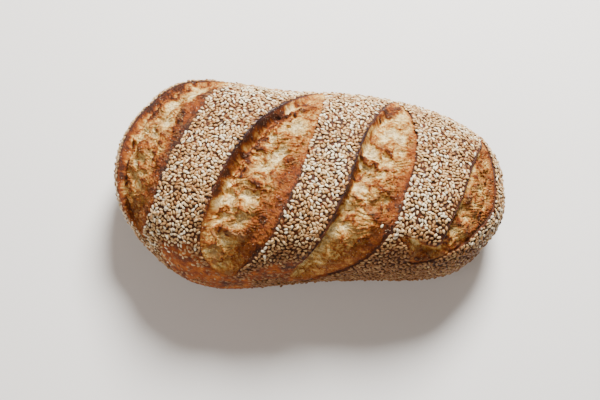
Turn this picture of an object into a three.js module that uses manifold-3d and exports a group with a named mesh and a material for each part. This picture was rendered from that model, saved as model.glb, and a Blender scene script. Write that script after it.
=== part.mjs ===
// A seeded batard loaf: a long hand-shaped bread, rolled in sesame, with slanting slashes that
// tore open in the oven. The dough swells in each slash and the crust lifts into an ear at its
// left edge. The whole bread is one solid, with the largest crags of the torn crumb and an
// even spread of sesame seeds fused to its crust.
//
// Millimetres. +X runs along the loaf to its narrower end, +Y to its back, +Z up. The origin is on
// the flat sole, below the middle of the loaf.
import * as THREE from "three";
import { mergeVertices } from "three/addons/utils/BufferGeometryUtils.js";
import Module from "manifold-3d";

const wasm = await Module();
wasm.setup();

// Whole loaf
const HALF_LENGTH = 134;
const HALF_WIDTH = 69.5;
const HEIGHT = 90;
const WAIST_HEIGHT = 32; // where the side is widest, above the table
const SOLE_SINK = 10; // the round underside would reach this far below the table: it is flat there
const TAPER = -0.145; // change of width from the middle to the +X end, as a share
const HEIGHT_TAPER = -0.04; // the same for the height
const BOW = 4; // both ends lie this far back of the middle
const LEAN = -9.2; // the +X end lies this far forward
const ROUND_LEFT = 2.23; // superellipse powers: the plan at each end, and the section
const ROUND_RIGHT = 2.67;
const ROUND_SECTION = 2.38;
const BUILD_STEPS = 10; // the dough's mesh: an icosahedron whose edges are split this often

// Where the hand-shaped outline swells or draws in, by bearing from +X in degrees
const SWELLS = [
  { bearing: 126, grow: 0.095, spread: 15.5 },
  { bearing: 99, grow: -0.1, spread: 19 },
  { bearing: -53, grow: 0.063, spread: 12 },
  { bearing: -88, grow: -0.1, spread: 26 },
  { bearing: -118, grow: 0.1, spread: 17.5 },
];
const UNEVEN = { height: 0.9, size: 38, seed: 3 };
const UNEVEN_FROM = 4; // above the table, where the unevenness starts, and where it is full
const UNEVEN_FULL = 24;
const END_SPREAD = 1.2; // how soon the plan's power changes from one end's to the other's

// Slashes, measured in millimetres over the unrolled crust from its crown. Each runs from its back
// tip to its front tip, and its edges stand off that line, to the left as positive, at five even
// stations. The ear stands up at the left edge and fades out at a share of the length, and the
// pocket is the low strip beside it: both are heights at the stations too. The rim is the drop at
// the right edge. Bumps are the largest crags and hollows of the torn crumb: their place and their
// half-size as shares along and across, and how far they lift the crumb. The fourth slash opens
// into the tear along the side at its front end.
const SLASHES = [
  {
    back: [-58, 72], front: [-142, -54],
    left: [0, 28, 43, 41, 42], right: [-9, -12, -12, -14, -2],
    ear: [0.8, 1.2, 1.4, 1.4, 1], earEnd: 1.1, pocket: [2.2, 3.2, 4.2, 4.2, 3], rim: 1.2, seed: 11,
    bumps: [
      { at: [0.81, 0.43], half: [0.05, 0.16], lift: -2.4 },
    ],
  },
  {
    back: [11, 68], front: [-62, -78],
    left: [3, 14, 23, 24, 24], right: [-8, -14, -20, -19, -6],
    ear: [1, 1.7, 2.8, 2.6, 2], earEnd: 0.83, pocket: [2.6, 4.6, 8.4, 7.4, 5.5], rim: 1.6, seed: 12,
    bumps: [
      { at: [0.235, 0.32], half: [0.035, 0.18], lift: 1.9 },
      { at: [0.285, 0.6], half: [0.05, 0.26], lift: -1.3 },
      { at: [0.43, 0.52], half: [0.055, 0.17], lift: -1.7 },
      { at: [0.655, 0.28], half: [0.045, 0.16], lift: -1.9 },
      { at: [0.72, 0.52], half: [0.05, 0.16], lift: -1.7 },
    ],
  },
  {
    back: [66, 63], front: [-12, -106],
    left: [6, 10, 6, 8, 24], right: [-9, -25, -30, -34, -30],
    ear: [1, 1.6, 2, 2, 1.6], earEnd: 0.86, pocket: [2.8, 5, 6.4, 6.4, 5], rim: 1.4, seed: 13,
    bumps: [
      { at: [0.1, 0.13], half: [0.045, 0.16], lift: 2 },
      { at: [0.22, 0.28], half: [0.045, 0.2], lift: -1.6 },
      { at: [0.315, 0.24], half: [0.035, 0.2], lift: -2 },
      { at: [0.37, 0.27], half: [0.03, 0.25], lift: 2.8 },
      { at: [0.435, 0.2], half: [0.045, 0.16], lift: -2.6 },
      { at: [0.56, 0.21], half: [0.04, 0.16], lift: -2.8 },
    ],
  },
  {
    back: [139, 44], front: [84, -62],
    left: [-2, 5, 5, 6, 7], right: [-4, -28, -35, -25, -9],
    ear: [0.8, 1.4, 1.6, 1.6, 1.2], earEnd: 1.1, pocket: [2, 3.2, 4, 3.6, 2.6], rim: 1.2, seed: 14,
    bumps: [
      { at: [0.7, 0.34], half: [0.05, 0.18], lift: -1.4 },
    ],
    open: "front",
  },
  {
    back: [100, -56], front: [56, -46],
    left: [-1, 0, 0, 1.4, 1.4], right: [-3, -12.5, -19, -8.5, -1],
    ear: [0, 0.2, 0.8, 0.9, 0.6], earEnd: 1.1, pocket: [2, 3.4, 4.6, 4.2, 3], rim: 0.8, seed: 15,
    bumps: [
      { at: [0.66, 0.34], half: [0.16, 0.26], lift: -1.2 },
    ],
    open: "back",
  },
];
const TIP_BLUNT = 5; // a higher power makes the slashes' tips blunter
const FULL_WIDTH = 26; // slashes narrower than this are shallower in proportion
const WALL_WIDTH = 4.6; // of the ear's inner face
const WALL_GROWS = 2.2; // it is this much wider and gentler where there is no ear
const EARLESS_DEPTH = 0.6; // share of the pocket's depth where there is no ear
const EAR_FADE = [0.1, 0.04]; // the ear fades from before to after its end, as shares of the length
const WALL_SHARE = 0.3; // it takes at most this share of a slash's width
const SWELL_POWER = 2.4; // how soon the torn crumb rises from the pocket
const CRAG = { height: 2.6, size: 10 };
const FINE_CRAG = { height: 0.9, size: 5 };
const BUMP_EDGE = [0.3, 1.15]; // a bump's own half-sizes between which it fades out
const CRAG_START = 2.6; // crags grow between these distances from the left edge
const CRAG_FULL = 8;
const CRAG_END = 0.3; // and fade over this share of the slash's width at its right edge
const CUT_ABOVE = 14; // the cut-away dough reaches this far over the crust
const CUT_ACROSS = 8; // steps of the cut's mesh
const CUT_ALONG = 27;
const CUT_CROWDING = 1.35; // a power over 1 crowds the steps at the ear
const TIP_START = 0.006; // share of a slash's length at which its cut begins
const RUN_OUT = 0.05; // share of the length over which the floor rises to the crust at a tip
const TIP_HEIGHT = 0.4; // of the floor over the crust at the very tip
const EAR_SPREAD = 8; // how far outside the left edge the crust lifts towards the ear

// Sesame seeds
const SEED_LENGTH = 3.4;
const SEED_WIDTH = 2.1;
const SEED_THICK = 1.3;
const SEED_POINTING = 0.45; // how much narrower the seed is towards its point
const SEED_RISE = 0.15; // its middle lies this far above the crust
const SEED_SIDES = 6;
const SEED_RINGS = 2; // one ring of corners between the two tips
const SEED_SPACING = 12;
const SEED_CLEAR = 3.2; // from a slash's edge
const SEED_LOWEST = 14; // above the table
const SEED_TRIES = 9000;
const SEED_DRAW = 20240611;
const STEEP = 0.55; // seeds keep off the crust where it faces down more than this

// Odd factors that scramble lattice points for the noise
const SCRAMBLE = [374761393, 668265263, 1442695041, 974634777];
const SCRAMBLE_AGAIN = 1274126177;
const WHOLE_RANGE = 4294967295;

// A whole number scrambled from a lattice point, as a value from -1 to 1.
function scramble(x, y, z, seed) {
  let h = [x, y, z, seed].reduce((mix, value, i) => mix ^ Math.imul(value, SCRAMBLE[i]), 0);
  h = Math.imul(h ^ (h >>> 13), SCRAMBLE_AGAIN);
  h ^= h >>> 16;
  return ((h >>> 0) / WHOLE_RANGE) * 2 - 1;
}

// Smooth noise from -1 to 1 at a point, one lump to each lattice cell.
function noise(point, size, seed) {
  const cell = [point.x / size, point.y / size, point.z / size];
  const low = cell.map(Math.floor);
  const share = cell.map((c, i) => THREE.MathUtils.smootherstep(c - low[i], 0, 1));
  let sum = 0;
  for (let corner = 0; corner < 8; corner++) {
    const step = [corner & 1, (corner >> 1) & 1, corner >> 2];
    const weight = step.reduce((w, on, i) => w * (on ? share[i] : 1 - share[i]), 1);
    sum += weight * scramble(low[0] + step[0], low[1] + step[1], low[2] + step[2], seed);
  }
  return sum;
}

// How much the outline swells at a bearing.
function swell(x, y) {
  const bearing = THREE.MathUtils.radToDeg(Math.atan2(y, x));
  const flat = x * x + y * y;
  let factor = 1;
  for (const { bearing: at, grow, spread } of SWELLS) {
    const off = THREE.MathUtils.euclideanModulo(bearing - at + 180, 360) - 180;
    factor += grow * Math.exp(-((off / spread) ** 2)) * flat;
  }
  return factor;
}

// The smooth loaf: a point of the unit sphere moved to the crust.
function crustPoint(direction) {
  const end = THREE.MathUtils.smoothstep(direction.x * END_SPREAD, -1, 1);
  const power = THREE.MathUtils.lerp(ROUND_LEFT, ROUND_RIGHT, end);
  const plan = (Math.abs(direction.x) ** power + Math.abs(direction.y) ** power + 1e-12) ** (1 / power);
  const reach = (plan ** ROUND_SECTION + Math.abs(direction.z) ** ROUND_SECTION) ** (1 / ROUND_SECTION);
  const x = direction.x / reach;
  const y = direction.y / reach;
  const z = direction.z / reach;
  const factor = swell(direction.x, direction.y);
  const rise = HEIGHT * (1 + HEIGHT_TAPER * x) - WAIST_HEIGHT;
  return new THREE.Vector3(
    HALF_LENGTH * x * factor,
    (HALF_WIDTH * (1 + TAPER * x) * y + LEAN * x + BOW * x * x) * factor,
    z > 0 ? WAIST_HEIGHT + rise * z : Math.max(0, WAIST_HEIGHT + (WAIST_HEIGHT + SOLE_SINK) * z),
  );
}

// Outward direction of the smooth loaf at a point of the unit sphere.
function crustNormal(direction) {
  const step = 0.01;
  const aside = new THREE.Vector3(0, 0, 1).cross(direction);
  if (aside.length() < step) aside.set(1, 0, 0);
  aside.normalize();
  const up = direction.clone().cross(aside);
  const along = (way) => {
    const ahead = crustPoint(direction.clone().addScaledVector(way, step).normalize());
    return ahead.sub(crustPoint(direction.clone().addScaledVector(way, -step).normalize()));
  };
  return along(aside).cross(along(up)).normalize();
}

// The crust with its unevenness, which fades out at the flat sole.
function skinPoint(direction, lift) {
  const point = crustPoint(direction);
  const fade = THREE.MathUtils.smoothstep(point.z, UNEVEN_FROM, UNEVEN_FULL);
  const uneven = UNEVEN.height * noise(point, UNEVEN.size, UNEVEN.seed) * fade;
  return point.addScaledVector(crustNormal(direction), uneven + lift);
}

// Unrolled crust to the unit sphere, and back.
function directionAt([u, v]) {
  const x = u / HALF_LENGTH;
  const y = v / HALF_WIDTH;
  const turn = Math.hypot(x, y);
  const share = turn > 1e-9 ? Math.sin(turn) / turn : 1;
  return new THREE.Vector3(x * share, y * share, Math.cos(turn));
}

function unrolled(direction) {
  const flat = Math.hypot(direction.x, direction.y);
  const turn = Math.atan2(flat, direction.z);
  const share = flat > 1e-9 ? turn / flat : 1;
  return [direction.x * share * HALF_LENGTH, direction.y * share * HALF_WIDTH];
}

// A smooth curve through values at even stations from 0 to 1.
function throughStations(values, s) {
  const last = values.length - 1;
  const place = THREE.MathUtils.clamp(s, 0, 1) * last;
  const i = Math.min(Math.floor(place), last - 1);
  const t = place - i;
  const at = (k) => {
    if (k < 0) return 2 * values[0] - values[1];
    return k > last ? 2 * values[last] - values[last - 1] : values[k];
  };
  const [p, q, r, w] = [at(i - 1), at(i), at(i + 1), at(i + 2)];
  const bend = (2 * p - 5 * q + 4 * r - w) * t ** 2;
  const twist = (3 * q - p - 3 * r + w) * t ** 3;
  return (2 * q + (r - p) * t + bend + twist) / 2;
}

// Edges of a slash at a share s of its length: its chord point, and how far each edge stands off.
function slashAt(slash, s) {
  const chord = [slash.front[0] - slash.back[0], slash.front[1] - slash.back[1]];
  const length = Math.hypot(...chord);
  const left = [chord[1] / length, -chord[0] / length];
  const cap = Math.sqrt(Math.max(0, 1 - Math.abs(2 * THREE.MathUtils.clamp(s, 0, 1) - 1) ** TIP_BLUNT));
  return {
    middle: [slash.back[0] + chord[0] * s, slash.back[1] + chord[1] * s],
    left,
    leftEdge: cap * throughStations(slash.left, s),
    rightEdge: cap * throughStations(slash.right, s),
  };
}

// Where a point of the unrolled crust lies in a slash: the share of its length, the distance
// across from its left edge, and its width there.
function placeIn(slash, [u, v]) {
  const chord = [slash.front[0] - slash.back[0], slash.front[1] - slash.back[1]];
  const away = [u - slash.back[0], v - slash.back[1]];
  const s = (away[0] * chord[0] + away[1] * chord[1]) / (chord[0] ** 2 + chord[1] ** 2);
  const { left, leftEdge, rightEdge } = slashAt(slash, s);
  const off = away[0] * left[0] + away[1] * left[1];
  return { s, across: leftEdge - off, width: leftEdge - rightEdge };
}

// A point of the unrolled crust, a distance across from a slash's left edge.
function besideLeftEdge(slash, s, across) {
  const { middle, left, leftEdge } = slashAt(slash, s);
  return [middle[0] + left[0] * (leftEdge - across), middle[1] + left[1] * (leftEdge - across)];
}

// From 0 at a slash's tips to 1 along it. A tip that opens into another slash doesn't run out.
function tipFade(slash, s, spread) {
  const fromBack = slash.open === "back" ? 1 : s;
  const fromFront = slash.open === "front" ? 1 : 1 - s;
  return THREE.MathUtils.smoothstep(Math.min(fromBack, fromFront), 0, spread);
}

function earShare(slash, s) {
  return 1 - THREE.MathUtils.smoothstep(s, slash.earEnd - EAR_FADE[0], slash.earEnd + EAR_FADE[1]);
}

// Height of the torn crumb over the crust, at a distance across a slash of some width.
function tornHeight(slash, s, across, width) {
  const ear = earShare(slash, s);
  const depth = Math.min(1, width / FULL_WIDTH);
  const wall = Math.min(WALL_WIDTH, width * WALL_SHARE) * THREE.MathUtils.lerp(WALL_GROWS, 1, ear);
  const down = THREE.MathUtils.smoothstep(across, 0, wall);
  const share = THREE.MathUtils.clamp((across - wall) / Math.max(width - wall, 1e-6), 0, 1);
  const tall = throughStations(slash.ear, s) * ear;
  const pocket = throughStations(slash.pocket, s) * THREE.MathUtils.lerp(EARLESS_DEPTH, 1, ear);
  const floor = -pocket + (pocket - slash.rim) * (1 - (1 - share) ** SWELL_POWER);
  const tip = tipFade(slash, s, RUN_OUT);
  return THREE.MathUtils.lerp(tall, floor, down) * depth * tip + (1 - tip) * TIP_HEIGHT;
}

// The largest crags and hollows of a slash, at shares of its length and of its width.
function bumps(slash, s, share) {
  return slash.bumps.reduce((sum, { at, half, lift }) => {
    const off = Math.hypot((s - at[0]) / half[0], (share - at[1]) / half[1]);
    return sum + lift * (1 - THREE.MathUtils.smoothstep(off, ...BUMP_EDGE));
  }, 0);
}

// Crags fade out towards both edges of a slash.
function crags(slash, point, across, width) {
  const inside = THREE.MathUtils.smoothstep(across, CRAG_START, CRAG_FULL)
    * THREE.MathUtils.smoothstep(width - across, 0, width * CRAG_END);
  const coarse = CRAG.height * noise(point, CRAG.size, slash.seed);
  const fine = FINE_CRAG.height * noise(point, FINE_CRAG.size, slash.seed + 10);
  return inside * (coarse + fine);
}

function solidOf(geometry) {
  geometry.deleteAttribute("normal");
  geometry.deleteAttribute("uv");
  const merged = mergeVertices(geometry, 1e-4);
  return new wasm.Manifold(new wasm.Mesh({
    numProp: 3,
    vertProperties: merged.getAttribute("position").array,
    triVerts: new Uint32Array(merged.index.array),
  }));
}

// Moves every vertex of a geometry by a function of where it is.
function moved(geometry, place) {
  const position = geometry.getAttribute("position");
  const point = new THREE.Vector3();
  for (let i = 0; i < position.count; i++) {
    const to = place(point.fromBufferAttribute(position, i).clone());
    position.setXYZ(i, to.x, to.y, to.z);
  }
  return geometry;
}

// A block bent over the crust: place takes shares across, along and up, each from 0 to 1.
function bentBlock(across, along, place) {
  const block = new THREE.BoxGeometry(1, 1, 1, across, along, 1);
  return solidOf(moved(block, (p) => place(p.x + 0.5, p.y + 0.5, p.z > 0)));
}

// How far the crust lifts towards the ears of all slashes.
function earLift(direction) {
  const flat = unrolled(direction);
  return SLASHES.reduce((lift, slash) => {
    const { s, across, width } = placeIn(slash, flat);
    const ear = throughStations(slash.ear, s) * earShare(slash, s);
    const tall = ear * tipFade(slash, s, RUN_OUT * 2);
    const depth = Math.min(1, width / FULL_WIDTH);
    return Math.max(lift, tall * depth * Math.exp(-((across / EAR_SPREAD) ** 2)));
  }, 0);
}

function liftedSkin(direction) {
  return skinPoint(direction, earLift(direction));
}

function dough() {
  return solidOf(moved(new THREE.IcosahedronGeometry(1, BUILD_STEPS), (p) => liftedSkin(p.normalize())));
}

// The dough that a slash takes away. Its underside is the torn crumb.
function slashCut(slash) {
  return bentBlock(CUT_ACROSS, CUT_ALONG, (p, q, above) => {
    const s = THREE.MathUtils.lerp(1 - TIP_START, TIP_START, q);
    const { leftEdge, rightEdge } = slashAt(slash, s);
    const width = leftEdge - rightEdge;
    const across = width * p ** CUT_CROWDING;
    const direction = directionAt(besideLeftEdge(slash, s, across));
    if (above) return skinPoint(direction, CUT_ABOVE);
    const height = tornHeight(slash, s, across, width) + bumps(slash, s, across / width);
    return skinPoint(direction, height + crags(slash, crustPoint(direction), across, width));
  });
}

// Random draws from 0 to 1 that repeat in every run.
function draws(seed) {
  let state = seed;
  return () => {
    state = (Math.imul(state, 1664525) + 1013904223) >>> 0;
    return state / 4294967296;
  };
}

function onSeededCrust(direction, point, normal) {
  if (point.z < SEED_LOWEST || normal.z < -STEEP) return false;
  const flat = unrolled(direction);
  return SLASHES.every((slash) => {
    const { s, across, width } = placeIn(slash, flat);
    return s < 0 || s > 1 || across < -SEED_CLEAR || across > width + SEED_CLEAR;
  });
}

// One sesame seed, a flat drop, pointed at +X.
function seedSolid(point, normal, turn) {
  const drop = new THREE.SphereGeometry(0.5, SEED_SIDES, SEED_RINGS).rotateZ(-Math.PI / 2);
  moved(drop, (p) => {
    const waist = 1 - SEED_POINTING * p.x;
    return p.set(p.x * SEED_LENGTH, p.y * SEED_WIDTH * waist, p.z * SEED_THICK * waist);
  });
  drop.rotateZ(turn);
  drop.applyQuaternion(new THREE.Quaternion().setFromUnitVectors(new THREE.Vector3(0, 0, 1), normal));
  const seat = point.clone().addScaledVector(normal, SEED_RISE);
  return solidOf(drop.translate(seat.x, seat.y, seat.z));
}

function seeds() {
  const draw = draws(SEED_DRAW);
  const placed = [];
  for (let i = 0; i < SEED_TRIES; i++) {
    const height = 2 * draw() - 1;
    const bearing = 2 * Math.PI * draw();
    const turn = 2 * Math.PI * draw();
    const flat = Math.sqrt(1 - height * height);
    const direction = new THREE.Vector3(flat * Math.cos(bearing), flat * Math.sin(bearing), height);
    const point = liftedSkin(direction);
    if (placed.some((other) => other.point.distanceTo(point) < SEED_SPACING)) continue;
    const normal = crustNormal(direction);
    if (onSeededCrust(direction, point, normal)) placed.push({ point, normal, turn });
  }
  return placed.map(({ point, normal, turn }) => seedSolid(point, normal, turn));
}

function geometryOf(solid) {
  const mesh = solid.getMesh();
  const geometry = new THREE.BufferGeometry();
  geometry.setAttribute("position", new THREE.BufferAttribute(Float32Array.from(mesh.vertProperties), 3));
  geometry.setIndex(new THREE.BufferAttribute(Uint32Array.from(mesh.triVerts), 1));
  geometry.computeVertexNormals();
  return geometry;
}

// The largest of a solid's separate bodies: a cut can leave a loose scrap.
function largest(solid) {
  return solid.decompose().reduce((big, body) => (body.volume() > big.volume() ? body : big));
}

function wholeLoaf() {
  const slashed = dough().subtract(wasm.Manifold.union(SLASHES.map(slashCut)));
  const geometry = geometryOf(largest(wasm.Manifold.union([slashed, ...seeds()])));
  geometry.computeBoundingBox();
  const { min, max } = geometry.boundingBox;
  return geometry.translate(-(min.x + max.x) / 2, -(min.y + max.y) / 2, -min.z);
}

const crust = new THREE.MeshStandardMaterial({ color: 0xb8814c, roughness: 0.85, metalness: 0 });
const loaf = new THREE.Mesh(wholeLoaf(), crust);
loaf.name = "loaf";

const bread = new THREE.Group();
bread.add(loaf);

export default bread;
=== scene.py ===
"""Sesame spelt bread: its baked crust, the torn crumb of its slashes and its sesame seeds.

The loaf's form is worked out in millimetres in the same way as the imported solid's. Every finished
mesh is then put in metres, in the frame that the solid stands in.
"""
import math

import bmesh
import bpy
import numpy as np
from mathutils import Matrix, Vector


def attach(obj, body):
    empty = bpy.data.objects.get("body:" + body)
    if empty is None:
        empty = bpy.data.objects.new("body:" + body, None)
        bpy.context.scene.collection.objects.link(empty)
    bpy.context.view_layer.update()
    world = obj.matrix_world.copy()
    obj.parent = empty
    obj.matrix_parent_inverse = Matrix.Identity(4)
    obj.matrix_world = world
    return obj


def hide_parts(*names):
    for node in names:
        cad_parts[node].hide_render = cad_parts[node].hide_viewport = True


bl_info = {
    "name": "Sesame Spelt Bread",
    "version": (1, 0, 0),
    "blender": (4, 5, 0),
    "location": "3D View > Sidebar > Bread",
    "description": "Makes the crust, torn crumb and sesame seeds of a slashed batard loaf",
    "category": "Add Mesh",
}

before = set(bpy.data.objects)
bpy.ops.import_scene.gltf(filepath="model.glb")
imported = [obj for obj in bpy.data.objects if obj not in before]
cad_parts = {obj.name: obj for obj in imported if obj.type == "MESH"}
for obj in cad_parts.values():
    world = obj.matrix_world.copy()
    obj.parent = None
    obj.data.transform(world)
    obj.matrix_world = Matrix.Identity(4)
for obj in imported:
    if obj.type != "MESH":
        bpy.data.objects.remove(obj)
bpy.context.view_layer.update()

MM = 0.001
MIDDLE = np.array([0.0, 4.085, 0.0])  # of the finished loaf's box, in the form's own millimetres

# Form of the loaf, the same as the solid's
HALF_LENGTH = 134.0
HALF_WIDTH = 69.5
HEIGHT = 90.0
WAIST_HEIGHT = 32.0
SOLE_SINK = 10.0
TAPER = -0.145
HEIGHT_TAPER = -0.04
BOW = 4.0
LEAN = -9.2
ROUND_LEFT = 2.23
ROUND_RIGHT = 2.67
ROUND_SECTION = 2.38
END_SPREAD = 1.2
SWELLS = [  # bearing in degrees, growth, spread in degrees
    (126, 0.095, 15.5), (99, -0.1, 19), (-53, 0.063, 12), (-88, -0.1, 26), (-118, 0.1, 17.5),
]
UNEVEN_HEIGHT = 0.9
UNEVEN_SIZE = 38.0
UNEVEN_SEED = 3
UNEVEN_FADE = (4.0, 24.0)

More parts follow.
